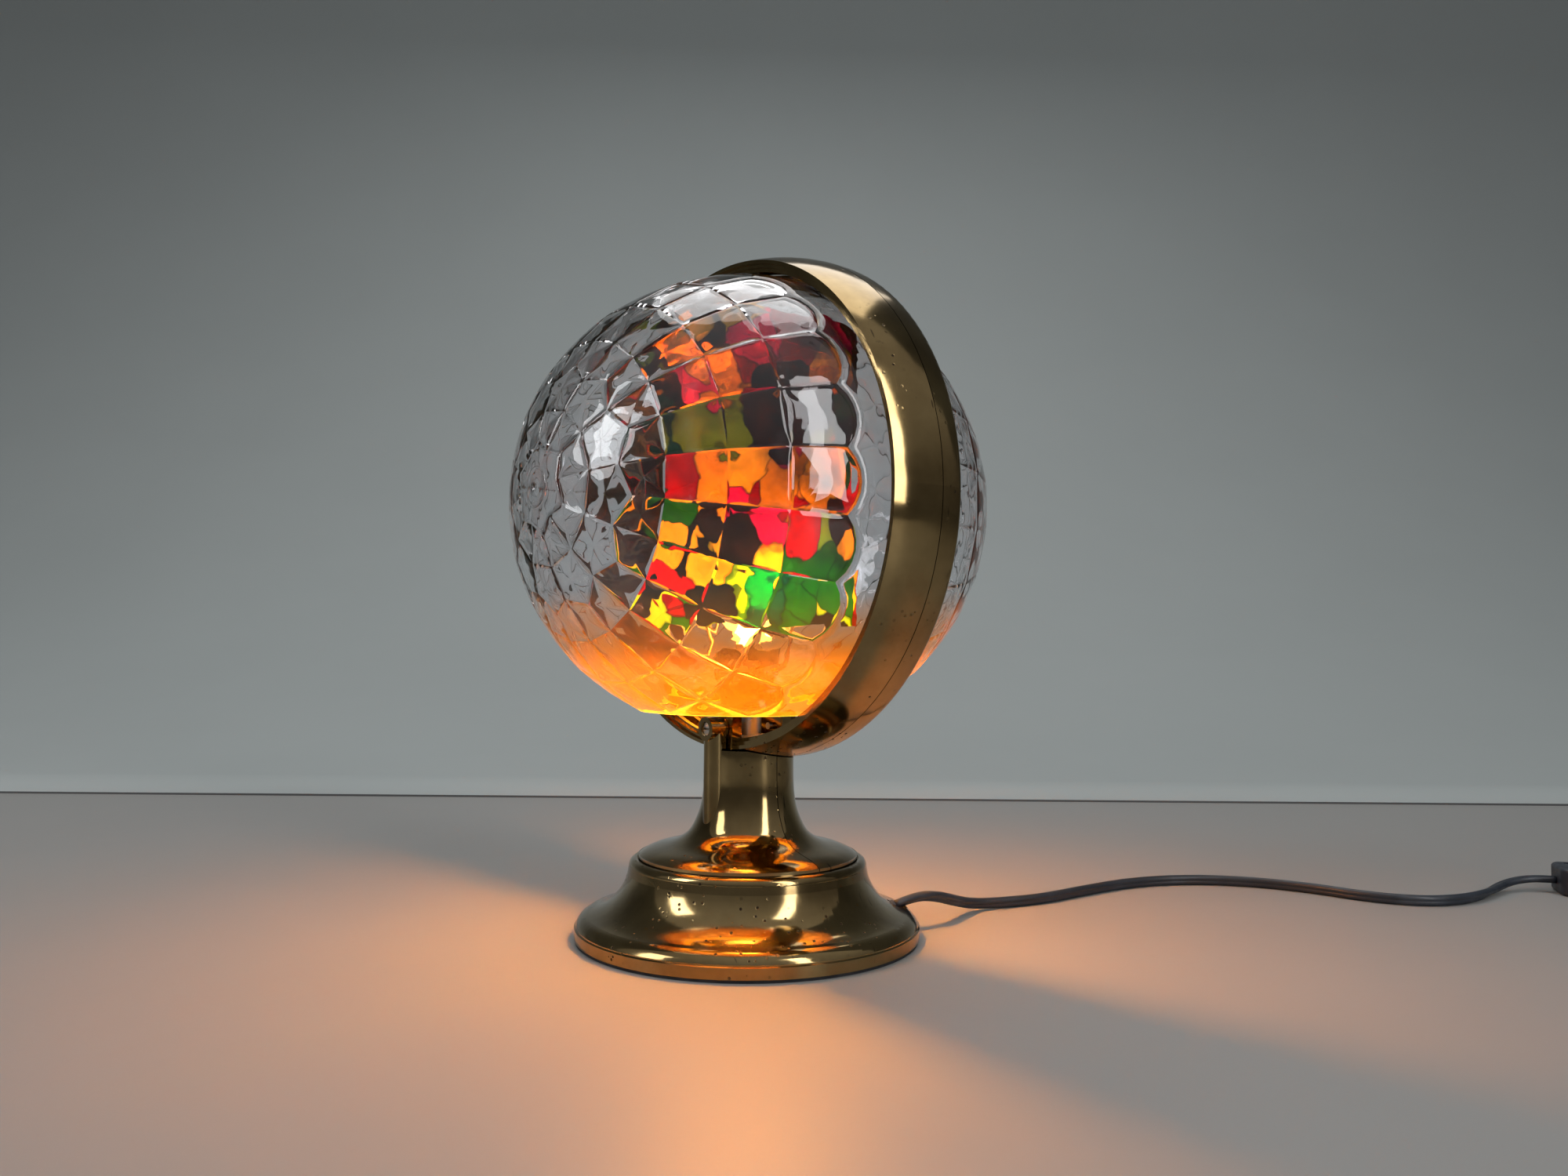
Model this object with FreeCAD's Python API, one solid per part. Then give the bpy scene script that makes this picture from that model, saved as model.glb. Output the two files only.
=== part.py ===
import FreeCAD, Part
import math
import os

# Rotating motion lamp: a faceted clear globe in a gilt ring on a gilt stem and base.
# Inside, a drum of coloured film turns on a needle above the bulb, driven by warm air.
# Millimetres. +Z is up, the origin is the middle of the foot's underside, the front
# half of the globe faces -Y, and the globe's axis is level.

V = FreeCAD.Vector

# General clearances
SEAT = 0.3          # gap left between close pieces that only rest near each other
RUNNING = 0.05      # radial clearance of a turning or threaded fit
FACE = 0.0          # gap between flat faces that touch
PARTING = 0.35      # visible parting gap between two moulded halves

# Base shell, measured at its outer surface
FOOT_THICK = 1.2
FOOT_INNER_R = 58.0
BASE_R = 70.0
BASE_WALL = 2.4
RIM_TOP_Z = 5.4
SHELF_R = 65.0
SHELF_Z = 10.2
FLARE_MID_R = 54.0
FLARE_MID_Z = 16.4
FLARE_TOP_R = 49.0
FLARE_TOP_Z = 26.0
SHOULDER_Z = 32.0
RECESS_GAP = 0.5
RECESS_FLOOR_Z = 30.9
WIRE_HOLE_R = 22.0

# Base inside
PLATE_THICK = 1.6
WEIGHT_R = 36.5
WEIGHT_BORE_R = 12.0
WEIGHT_THICK = 10.0
BASE_BOSS_R = 4.0
BASE_BOSS_PITCH_R = 31.0
BASE_SCREW_R = 1.6
BASE_SCREW_HEAD_R = 3.3
BASE_SCREW_BITE = 9.0

# Flange of the stem and its screws
DISC_R = 44.7
DISC_EDGE_Z = 33.4
STEM_WALL = 2.4
FLANGE_BOSS_R = 3.5
FLANGE_BOSS_PITCH_R = 33.0
FLANGE_SCREW_R = 1.5
FLANGE_SCREW_HEAD_R = 2.9
FLANGE_SCREW_HEAD = 1.8
FLANGE_PILOT_TOP_Z = 34.8

# Stem outline: radius and height
STEM_PROFILE = (
    (44.3, 33.4), (39.9, 35.6), (33.1, 37.4), (27.4, 39.8), (24.0, 42.8),
    (21.9, 46.5), (19.9, 51.8), (18.8, 58.0), (18.4, 66.0), (18.2, 76.0),
)
STEM_CAVITY_TOP_Z = 66.0
NOSE_R = 4.7
NOSE_Y = 17.1
NOSE_FOOT_Z = 40.0
EAR_BOSS_R = 4.8
EAR_BOSS_PROUD = 0.5
EAR_SCREW_R = 1.5
EAR_SCREW_HEAD_R = 2.7
EAR_SCREW_HEAD = 2.0
EAR_SCREW_SINK = 3.0
EAR_SCREW_LENGTH = 9.6

# Ring round the globe; t runs along the globe's axis towards the front
SHELL_R = 93.2
SHELL_WALL = 2.9
GLOBE_Z = 175.0
LIP_INNER_R = SHELL_R + 1.2
RIB_INNER_R = SHELL_R + 1.8
SLEEVE_INNER_R = SHELL_R + 4.4
SLEEVE_OUTER_R = SLEEVE_INNER_R + 2.1
RING_WALL = 2.3
CROWN_R = SLEEVE_OUTER_R + RING_WALL + 1.2
CROWN_T = -9.0
CROWN_SWEEP_R = 60.5
RING_FRONT_T = 13.9
RING_BACK_T = -16.2
RING_SEAM_T = -5.5
LIP_STEP = 1.3
LIP_THICK = 2.0
RIB_FRONT_T = 3.2
RIB_BACK_T = 1.15
SLEEVE_FRONT_T = -3.35
RING_LOW_Z = GLOBE_Z - CROWN_R
PAD_Z = RING_LOW_Z + 4.8
PAD_HALF_X = 11.0
LUG_HALF_X = 7.0
LUG_THICK = 4.6
EAR_SCREW_Z = RING_LOW_Z + 12.7
LUG_TOP_Z = EAR_SCREW_Z + 5.0

# Clear half globes
SHELL_INNER_R = SHELL_R - SHELL_WALL
FRONT_CENTRE_T = 5.85
BACK_CENTRE_T = 5.85
FRONT_SKIRT_T = -0.95
BACK_SKIRT_T = 1.25
CUT_Z = 91.5
LUG_RING_R = SLEEVE_INNER_R + 0.7
LUG_RING_THICK = 1.8
LUG_RING_ANGLES = (-120.0, -70.0, -20.0, 20.0, 70.0, 120.0)
LUG_RING_SPAN = 9.0
BUTTON_R = 7.8
BUTTON_PROUD = 0.25
DIMPLE_R = 1.7
DIMPLE_DEEP = 0.6
SECTORS = 24
SECTOR = 360.0 / SECTORS
FACET_START = -82.5
ROW_ANGLES = (37.3, 50.5, 64.0)
TIP_ANGLE = 79.8
TIP_NORMAL_ANGLE = 70.0
TIP_REACH_ANGLE = 86.0
DODECAGON_ANGLE = 18.3
ZIGZAG_LOW = 26.3
ZIGZAG_HIGH = 29.8
HEXAGON_LOW = 8.8
HEXAGON_HIGH = 11.3

# Lamp pipe, holder and bulb
PIPE_R = 5.0
PIPE_BORE_R = 4.0
PIPE_BOTTOM_Z = 55.0
PIPE_TOP_Z = 95.5
NUT_FLATS_R = 7.0
NUT_THICK = 5.0
HOLDER_R = 13.0
HOLDER_BOTTOM_Z = 90.0
HOLDER_SPLIT_Z = 97.0
HOLDER_TOP_Z = 116.5
HOLDER_BORE_R = 10.6
SEAT_DISC_Z = 98.0
SEAT_DISC_THICK = 3.5
SLEEVE_R = 8.2
CAP_R = 7.0
CAP_BOTTOM_Z = 103.0
CAP_TOP_Z = 120.0
BULB_R = 20.0
BULB_Z = 140.5
BULB_NECK_R = 6.8
GLASS_WALL = 0.8
FILAMENT_Z = 141.0
STEM_TIP_R = 2.6
STEM_TALL = 8.0
LEAD_R = 0.4

# Needle frame over the bulb
CLIP_THICK = 1.2
CLIP_BOTTOM_Z = 104.0
CLIP_TALL = 6.0
FRAME_WIRE_R = 1.1
FRAME_REACH = 28.0
FRAME_TOP_Z = 219.0
COLLAR_R = 2.6
COLLAR_TALL = 6.0
NEEDLE_R = 1.0
NEEDLE_TIP_Z = 240.0
NEEDLE_POINT = 1.6

# Turning drum
DRUM_R = 44.0
FILM_THICK = 0.5
DRUM_BOTTOM_Z = 126.0
DRUM_TOP_Z = 246.0
HOOP_THICK = 1.2
HOOP_TALL = 5.0
FAN_Z = 236.0
FAN_PLATE = 0.8
FAN_HUB_R = 13.0
VANES = 8
VANE_PITCH = 28.0
VANE_ROOT_HALF = 3.6
VANE_TIP_HALF = 10.5
CUP_R = 3.0
CUP_BOTTOM_Z = 232.0
CUP_TALL = 10.0

# Mains cord: leaves the base low down, lies on the table and has a switch in it
CORD_R = 2.5
CORD_HOLE_R = 3.3
CORD_ROUTE = (
    (32.5, 51.5, 10.5), (35.0, 61.5, 13.5), (35.5, 74.0, 12.0), (32.0, 89.0, 7.5),
    (28.5, 104.0, 3.5), (32.0, 119.0, 2.5), (38.5, 141.0, 2.5), (39.0, 173.0, 2.5),
    (41.5, 206.0, 2.5), (54.0, 235.0, 2.5), (76.5, 255.5, 2.5), (102.0, 265.0, 2.5),
    (128.0, 267.0, 2.5), (147.5, 277.0, 2.5), (157.0, 293.0, 2.5), (159.8, 311.0, 2.5),
    (158.8, 329.0, 2.5), (158.1, 345.0, 3.4), (161.4, 353.7, 5.0), (167.414, 360.822, 6.0),
    (174.7, 365.2, 6.0),
)
CLAMP_LONG = 5.0
CLAMP_HALF_WIDE = 10.0
CLAMP_ROOF = 3.0
CLAMP_SCREW_Y = 6.6
CLAMP_SCREW_R = 1.3
CLAMP_SCREW_HEAD_R = 2.4
CLAMP_SCREW_HEAD = 1.5
CLAMP_BACK = 15.5
WIRE_R = 1.0
WIRE_SPREAD = 1.4

# Inline rocker switch
SWITCH_AT = (174.7, 365.2)
SWITCH_TURN = 31.0
SWITCH_LONG = 62.0
SWITCH_WIDE = 27.0
SWITCH_TALL = 13.0
SWITCH_SPLIT_Z = 5.6
SWITCH_WALL = 1.8
SWITCH_CORNER = 6.0
SWITCH_EDGE = 1.6
ROCKER_R = 6.4
ROCKER_HALF_WIDE = 4.2
ROCKER_Z = 8.4
ROCKER_VALLEY = 4.9
ROCKER_TILT = 9.0
ROCKER_GAP = 0.35
PIN_R = 1.0
CHEEK_THICK = 2.0
CHEEK_HALF_LONG = 3.2
SWITCH_BOSS_R = 3.3
SWITCH_SCREW_INSET = 7.5
SWITCH_SCREW_SIDE = 7.5
SWITCH_SCREW_R = 1.25
SWITCH_SCREW_HEAD_R = 2.2
SWITCH_SCREW_HEAD = 1.6
SWITCH_SCREW_SINK = 2.6
CONTACT_THICK = 0.8

# Put-away coil beyond the switch, and the plug
COIL_START_RUN = 50.0
COIL_R = 38.0
COIL_PITCH = 5.6
COIL_HALF_TURNS = 6
TAIL_RUNS = (12.0, 12.0, 10.0)
PLUG_Z = 6.9
PLUG_LONG = 36.0
PLUG_REAR_WIDE = 14.0
PLUG_REAR_TALL = 10.0
PLUG_FRONT_WIDE = 32.0
PLUG_TALL = 13.6
PLUG_CORNER = 3.0
PIN_LONG = 19.0
PLUG_PIN_R = 2.0
PLUG_PIN_PITCH = 18.6
PLUG_PIN_INSET = 6.0


# Plain shapes

def rod(radius, low, high, x=0.0, y=0.0):
    """Upright cylinder between two heights."""
    return Part.makeCylinder(radius, high - low, V(x, y, low))


def pipe(inner, outer, low, high):
    """Upright tube about the Z axis."""
    return rod(outer, low, high).cut(rod(inner, low - 1.0, high + 1.0))


def block(x, y, z):
    """Box from three (low, high) pairs."""
    return Part.makeBox(x[1] - x[0], y[1] - y[0], z[1] - z[0], V(x[0], y[0], z[0]))


def joined(shapes):
    """All shapes in one solid."""
    first = shapes[0]
    if len(shapes) == 1:
        return first
    return first.multiFuse(shapes[1:]).removeSplitter()


def turned(shape, angle, axis=(0, 0, 1), centre=(0, 0, 0)):
    """A copy turned about an axis through a point."""
    copy = shape.copy()
    copy.rotate(V(*centre), V(*axis), angle)
    return copy


def moved(shape, x=0.0, y=0.0, z=0.0):
    """A copy moved by an offset."""
    copy = shape.copy()
    copy.translate(V(x, y, z))
    return copy


def outline(start, steps):
    """Closed wire in the XZ plane; a step is an end point, or a via point and an end point."""
    edges = []
    here = V(start[0], 0, start[1])
    for step in steps:
        if len(step) == 2 and not isinstance(step[0], tuple):
            there = V(step[0], 0, step[1])
            edges.append(Part.LineSegment(here, there).toShape())
        else:
            via = V(step[0][0], 0, step[0][1])
            there = V(step[1][0], 0, step[1][1])
            edges.append(Part.Arc(here, via, there).toShape())
        here = there
    home = V(start[0], 0, start[1])
    if here.distanceToPoint(home) > 0.001:
        edges.append(Part.LineSegment(here, home).toShape())
    return Part.Wire(edges)


def spun(start, steps):
    """Solid of revolution about the Z axis from a radius and height outline."""
    return Part.Face(outline(start, steps)).revolve(V(0, 0, 0), V(0, 0, 1), 360)


def along_globe(shape):
    """From a frame whose Z is the globe's axis t to the part's frame."""
    return moved(turned(shape, 90, (1, 0, 0)), z=GLOBE_Z)


def rounded_section(half_x, half_y, corner, z):
    """Rounded rectangle as a wire of four lines and four arcs."""
    flat_x = half_x - corner
    flat_y = half_y - corner
    diagonal = corner * math.sqrt(0.5)
    edges = []
    for quarter in range(4):
        sign_x = (1, -1, -1, 1)[quarter]
        sign_y = (1, 1, -1, -1)[quarter]
        cx = sign_x * flat_x
        cy = sign_y * flat_y
        side = V(cx + sign_x * corner, cy, z)
        end = V(cx, cy + sign_y * corner, z)
        start, stop = (side, end) if quarter % 2 == 0 else (end, side)
        via = V(cx + sign_x * diagonal, cy + sign_y * diagonal, z)
        edges.append((start, via, stop))
    path = []
    for index, (start, via, stop) in enumerate(edges):
        path.append(Part.Arc(start, via, stop).toShape())
        path.append(Part.LineSegment(stop, edges[(index + 1) % 4][0]).toShape())
    return Part.Wire(path)


def rounded_block(half_x, half_y, corner, low, high):
    """Upright prism on a rounded rectangle."""
    return Part.Face(rounded_section(half_x, half_y, corner, low)).extrude(V(0, 0, high - low))


def bend_path(points):
    """Straight runs joined by tangent arcs, with each arc's radius and the path's length."""
    places = [V(*p) for p in points]
    edges = []
    radii = []
    here = places[0]
    for before, corner, after in zip(places, places[1:], places[2:]):
        run_in = corner.sub(before)
        run_out = after.sub(corner)
        half = run_in.getAngle(run_out) / 2.0
        set_back = 0.45 * min(run_in.Length, run_out.Length)
        radii.append(set_back / math.tan(half))
        unit_in = V(run_in).normalize()
        unit_out = V(run_out).normalize()
        begin = corner.sub(unit_in * set_back)
        finish = corner.add(unit_out * set_back)
        inward = unit_out.sub(unit_in).normalize()
        sag = radii[-1] * (1.0 / math.cos(half) - 1.0)
        edges.append(Part.LineSegment(here, begin).toShape())
        edges.append(Part.Arc(begin, corner.add(inward * sag), finish).toShape())
        here = finish
    edges.append(Part.LineSegment(here, places[-1]).toShape())
    return Part.Wire(edges), radii


def tube(wire, radius):
    """Round solid along a wire."""
    edge = wire.Edges[0]
    start = edge.valueAt(edge.FirstParameter)
    heading = edge.tangentAt(edge.FirstParameter)
    ring = Part.Wire(Part.makeCircle(radius, start, heading))
    return wire.makePipeShell([ring], True, False)


def bent_wire(points, radius):
    """Thin wire or cord along a list of points."""
    return tube(bend_path(points)[0], radius)


def screw(radius, head_radius, head, length):
    """Pan head screw, shank down, with the head's underside at the origin."""
    shank = rod(radius, -length, 0.0)
    top = rod(head_radius, 0.0, head)
    slot = block((-head_radius, head_radius), (-0.4, 0.4), (head * 0.5, head + 1.0))
    return shank.fuse(top).cut(slot)


# Base

def circle_through(a, b, c):
    """Centre and radius of the circle through three radius and height points."""
    arc = Part.Arc(V(a[0], 0, a[1]), V(b[0], 0, b[1]), V(c[0], 0, c[1])).toShape().Curve
    return arc.Center.x, arc.Center.z, arc.Radius


def on_circle(centre_r, centre_z, radius, z):
    """Radius from the Z axis of the circle's left side at a height."""
    return centre_r - math.sqrt(radius ** 2 - (z - centre_z) ** 2)


def under_circle(centre_r, centre_z, radius, r):
    """Height of the circle's lower side at a radius from the Z axis."""
    return centre_z - math.sqrt(radius ** 2 - (r - centre_r) ** 2)


FLARE_R0, FLARE_Z0, FLARE_SWEEP = circle_through(
    (SHELF_R, SHELF_Z), (FLARE_MID_R, FLARE_MID_Z), (FLARE_TOP_R, FLARE_TOP_Z))
RECESS_R = DISC_R + RECESS_GAP
PLATE_TOP_Z = FOOT_THICK + PLATE_THICK
WEIGHT_TOP_Z = PLATE_TOP_Z + WEIGHT_THICK
FLOOR_LOW_Z = RECESS_FLOOR_Z - BASE_WALL
HOLE_POINT = V(*CORD_ROUTE[0])
HOLE_HEADING = V(*CORD_ROUTE[1]).sub(HOLE_POINT).normalize()
CLAMP_POINT = HOLE_POINT.sub(HOLE_HEADING * CLAMP_BACK)
CORD_TURN = math.degrees(math.atan2(HOLE_HEADING.y, HOLE_HEADING.x))


def base_shell():
    """Bell-shaped gilt moulding with a recess on top for the stem's flange."""
    inner_sweep = FLARE_SWEEP + BASE_WALL
    inner_shelf_r = SHELF_R - BASE_WALL / 3
    inner_shelf_z = under_circle(FLARE_R0, FLARE_Z0, inner_sweep, inner_shelf_r)
    inner_top_r = on_circle(FLARE_R0, FLARE_Z0, inner_sweep, FLARE_TOP_Z)
    inner_mid_z = (inner_shelf_z + FLARE_TOP_Z) / 2
    inner_mid_r = on_circle(FLARE_R0, FLARE_Z0, inner_sweep, inner_mid_z)
    top_inner_r = RECESS_R + 0.8
    shell = spun((BASE_R, FOOT_THICK), (
        (BASE_R, RIM_TOP_Z),
        (BASE_R - 0.6, RIM_TOP_Z + 0.4),
        (BASE_R - 0.6, RIM_TOP_Z + 0.9),
        ((BASE_R - 1.9, RIM_TOP_Z + 3.0), (SHELF_R, SHELF_Z)),
        ((FLARE_MID_R, FLARE_MID_Z), (FLARE_TOP_R, FLARE_TOP_Z)),
        (FLARE_TOP_R - 0.5, SHOULDER_Z - 3.0),
        ((FLARE_TOP_R - 1.4, SHOULDER_Z - 0.8), (top_inner_r, SHOULDER_Z)),
        (RECESS_R, SHOULDER_Z),
        (RECESS_R, RECESS_FLOOR_Z),
        (WIRE_HOLE_R, RECESS_FLOOR_Z),
        (WIRE_HOLE_R, FLOOR_LOW_Z),
        (inner_top_r, FLOOR_LOW_Z),
        (inner_top_r, FLARE_TOP_Z),
        ((inner_mid_r, inner_mid_z), (inner_shelf_r, inner_shelf_z)),
        (BASE_R - BASE_WALL, RIM_TOP_Z - 0.4),
        (BASE_R - BASE_WALL, FOOT_THICK),
    ))
    for angle in (0, 90, 180, 270):
        boss = rod(BASE_BOSS_R, WEIGHT_TOP_Z + FACE, FLOOR_LOW_Z + 0.5, BASE_BOSS_PITCH_R)
        shell = shell.fuse(turned(boss, angle))
        pilot = rod(BASE_SCREW_R, WEIGHT_TOP_Z - 1, WEIGHT_TOP_Z + BASE_SCREW_BITE + 1, BASE_BOSS_PITCH_R)
        shell = shell.cut(turned(pilot, angle))
    for angle in (45, 135, 225, 315):
        hole = rod(FLANGE_SCREW_R + 0.2, FLOOR_LOW_Z - 1, RECESS_FLOOR_Z + 1, FLANGE_BOSS_PITCH_R)
        shell = shell.cut(turned(hole, angle))
    start = HOLE_POINT.sub(HOLE_HEADING * 9.0)
    cord_hole = Part.makeCylinder(CORD_HOLE_R, 20.0, start, HOLE_HEADING)
    return shell.cut(cord_hole)


def foot_ring():
    """Dark rubber ring that the base stands on."""
    return pipe(FOOT_INNER_R, BASE_R - 0.5, 0.0, FOOT_THICK)


def base_plate():
    """Steel plate that closes the base, with countersunk holes."""
    plate = rod(BASE_R - BASE_WALL - SEAT, FOOT_THICK, PLATE_TOP_Z)
    for angle in (0, 90, 180, 270):
        sink = Part.makeCone(BASE_SCREW_HEAD_R + 0.1, BASE_SCREW_R + 0.1, PLATE_THICK,
                             V(BASE_BOSS_PITCH_R, 0, FOOT_THICK))
        plate = plate.cut(turned(sink, angle))
    for side in (-1, 1):
        plate = plate.cut(clamp_placed(rod(CLAMP_SCREW_R, -20.0, 20.0, 0.0, side * CLAMP_SCREW_Y)))
    return plate


def base_weight():
    """Cast iron ring that steadies the lamp."""
    weight = pipe(WEIGHT_BORE_R, WEIGHT_R, PLATE_TOP_Z, WEIGHT_TOP_Z)
    for angle in (0, 90, 180, 270):
        hole = rod(BASE_SCREW_R + 0.3, PLATE_TOP_Z - 1, WEIGHT_TOP_Z + 1, BASE_BOSS_PITCH_R)
        weight = weight.cut(turned(hole, angle))
    return weight


def base_screws():
    """Four countersunk screws through plate and weight into the base shell."""
    shank_top = WEIGHT_TOP_Z + BASE_SCREW_BITE
    head = Part.makeCone(BASE_SCREW_HEAD_R, BASE_SCREW_R, PLATE_THICK, V(0, 0, FOOT_THICK))
    slot = block((-4.0, 4.0), (-0.4, 0.4), (FOOT_THICK - 1.0, FOOT_THICK + 0.6))
    one = head.fuse(rod(BASE_SCREW_R - RUNNING, FOOT_THICK, shank_top)).cut(slot)
    one = moved(one, x=BASE_BOSS_PITCH_R)
    return Part.makeCompound([turned(one, angle) for angle in (0, 90, 180, 270)])


def flange_screws():
    """Four pan head screws from under the base's recess into the stem's flange."""
    one = screw(FLANGE_SCREW_R - RUNNING, FLANGE_SCREW_HEAD_R, FLANGE_SCREW_HEAD,
                FLANGE_PILOT_TOP_Z - FLOOR_LOW_Z - 0.4)
    one = moved(turned(one, 180, (1, 0, 0)), x=FLANGE_BOSS_PITCH_R, z=FLOOR_LOW_Z)
    return Part.makeCompound([turned(one, angle) for angle in (45, 135, 225, 315)])


# Cord clamp inside the base

def clamp_placed(shape):
    """From the clamp's own frame, x along the cord, to its place on the base plate."""
    return moved(turned(shape, CORD_TURN), CLAMP_POINT.x, CLAMP_POINT.y, 0.0)


CLAMP_TOP_Z = CLAMP_POINT.z + CORD_R + CLAMP_ROOF


def cord_clamp():
    """Saddle that holds the cord down on the base plate."""
    half = CLAMP_LONG / 2
    body = block((-half, half), (-CLAMP_HALF_WIDE, CLAMP_HALF_WIDE), (PLATE_TOP_Z, CLAMP_TOP_Z))
    for side in (-1, 1):
        body = body.cut(rod(CLAMP_SCREW_R + 0.1, 0, CLAMP_TOP_Z + 1, 0.0, side * CLAMP_SCREW_Y))
    body = clamp_placed(body)
    bore = Part.makeCylinder(CORD_R + RUNNING, 30.0, CLAMP_POINT.sub(HOLE_HEADING * 15.0), HOLE_HEADING)
    throat_half = CORD_R + RUNNING
    throat = block((-15.0, 15.0), (-throat_half, throat_half), (0.0, CLAMP_POINT.z - 0.8))
    return body.cut(bore).cut(clamp_placed(throat))


def clamp_screws():
    """Two screws that hold the cord clamp to the plate."""
    length = CLAMP_TOP_Z - FOOT_THICK - 0.2
    one = screw(CLAMP_SCREW_R - RUNNING, CLAMP_SCREW_HEAD_R, CLAMP_SCREW_HEAD, length)
    pair = [moved(one, y=side * CLAMP_SCREW_Y, z=CLAMP_TOP_Z) for side in (-1, 1)]
    return clamp_placed(Part.makeCompound(pair))


# Stem

def stem_body(inset, top_z):
    """Turned body of the stem, from the flange up to the neck, inset by a wall."""
    points = []
    last = len(STEM_PROFILE) - 1
    for index, (radius, z) in enumerate(STEM_PROFILE):
        before = STEM_PROFILE[max(index - 1, 0)]
        after = STEM_PROFILE[min(index + 1, last)]
        along = V(after[0] - before[0], 0, after[1] - before[1]).normalize()
        points.append(V(radius - along.z * inset, 0, z + along.x * inset))
    side = Part.BSplineCurve()
    side.interpolate(points)
    foot, head = points[0], points[-1]
    corners = [head, V(0, 0, head.z), V(0, 0, foot.z), foot]
    edges = [side.toShape()] + [Part.LineSegment(p, q).toShape() for p, q in zip(corners, corners[1:])]
    body = Part.Face(Part.Wire(edges)).revolve(V(0, 0, 0), V(0, 0, 1), 360)
    return body.common(rod(2 * DISC_R, 0.0, top_z))


def ring_envelope(clearance, inner):
    """The ring's outer form, grown by a clearance, down to an inner radius."""
    front = RING_FRONT_T + clearance
    back = RING_BACK_T - clearance
    return along_globe(spun((inner, front), (
        (band_radius(RING_FRONT_T) + clearance, front),
        ((band_radius(0.0) + clearance, 0.0), (band_radius(BACK_ROUND_T) + clearance, BACK_ROUND_T)),
        ((BACK_VIA_R + clearance, BACK_VIA_T - clearance), (BACK_EDGE_R + clearance, back)),
        (inner, back),
    )))


def stem_whole():
    """Both halves of the stem before they are parted."""
    outer_y = NOSE_Y + NOSE_R
    ear_top = EAR_SCREW_Z
    parts = [stem_body(0.0, GLOBE_Z), rod(DISC_R, RECESS_FLOOR_Z, DISC_EDGE_Z)]
    for side in (-1, 1):
        parts.append(rod(NOSE_R, NOSE_FOOT_Z, ear_top, 0.0, side * NOSE_Y))
        boss_end = side * (outer_y + EAR_BOSS_PROUD)
        parts.append(Part.makeCylinder(EAR_BOSS_R, outer_y + EAR_BOSS_PROUD - 12.0,
                                       V(0, boss_end, EAR_SCREW_Z), V(0, -side, 0)))
    solid = joined(parts)
    cavity = stem_body(STEM_WALL, STEM_CAVITY_TOP_Z)
    solid = solid.cut(cavity)
    solid = solid.cut(rod(DISC_R - STEM_WALL - 1.0, RECESS_FLOOR_Z - 1.0, DISC_EDGE_Z + 0.01))
    for angle in (45, 135, 225, 315):
        boss = rod(FLANGE_BOSS_R, RECESS_FLOOR_Z, FLANGE_PILOT_TOP_Z + 1.2, FLANGE_BOSS_PITCH_R)
        solid = solid.fuse(turned(boss, angle))
        pilot = rod(FLANGE_SCREW_R, RECESS_FLOOR_Z - 1, FLANGE_PILOT_TOP_Z, FLANGE_BOSS_PITCH_R)
        solid = solid.cut(turned(pilot, angle))
    solid = solid.cut(ring_envelope(SEAT, SHELL_R / 2))
    solid = solid.cut(rod(PIPE_R + 0.2, PIPE_BOTTOM_Z, PIPE_TOP_Z))
    for side in (-1, 1):
        hole = Part.makeCylinder(EAR_SCREW_R + 0.15, 20.0, V(0, side * 10.0, EAR_SCREW_Z), V(0, side, 0))
        solid = solid.cut(hole)
        sink_at = side * (outer_y + EAR_BOSS_PROUD - EAR_SCREW_SINK)
        sink = Part.makeCylinder(EAR_SCREW_HEAD_R + 0.15, 10.0, V(0, sink_at, EAR_SCREW_Z), V(0, side, 0))
        solid = solid.cut(sink)
    return solid


def stem_half(whole, side):
    """Front (-1) or back (1) half of the stem, parted on the plane of the ring."""
    near = PARTING / 2
    if side < 0:
        keep = block((-SHELL_R, SHELL_R), (-SHELL_R, -near), (0.0, GLOBE_Z))
    else:
        keep = block((-SHELL_R, SHELL_R), (near, SHELL_R), (0.0, GLOBE_Z))
    return whole.common(keep)


def ear_screws():
    """Two screws through the stem's ears into the ring's lugs."""
    outer_y = NOSE_Y + NOSE_R
    one = screw(EAR_SCREW_R - RUNNING, EAR_SCREW_HEAD_R, EAR_SCREW_HEAD, EAR_SCREW_LENGTH)
    solids = []
    for side in (-1, 1):
        laid = turned(one, -90 * side, (1, 0, 0))
        seat_y = side * (outer_y + EAR_BOSS_PROUD - EAR_SCREW_SINK)
        solids.append(moved(laid, y=seat_y, z=EAR_SCREW_Z))
    return Part.makeCompound(solids)


# Ring

def band_radius(t):
    """Outer radius of the ring's domed band at a place along the globe's axis."""
    return CROWN_R - CROWN_SWEEP_R + math.sqrt(CROWN_SWEEP_R ** 2 - (t - CROWN_T) ** 2)


BACK_ROUND_T = RING_BACK_T + 2.7
BACK_EDGE_R = CROWN_R - 3.0
BACK_VIA_R = CROWN_R - 0.9
BACK_VIA_T = RING_BACK_T + 0.7


def ring_pad():
    """Flat floor inside the ring's lowest part, where the lamp pipe's nut bears."""
    box = block((-PAD_HALF_X, PAD_HALF_X), (-RING_FRONT_T, -RING_BACK_T), (GLOBE_Z - CROWN_R - 5, PAD_Z))
    return box.common(ring_envelope(0.0, SHELL_R / 2))


def ring_clear():
    """Room above the pad for the nut."""
    return block((-PAD_HALF_X, PAD_HALF_X), (LIP_THICK - RING_FRONT_T + 2 * LIP_STEP, -RING_BACK_T - LIP_THICK),
                 (PAD_Z, GLOBE_Z - RIB_INNER_R + 2.0))


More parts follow.
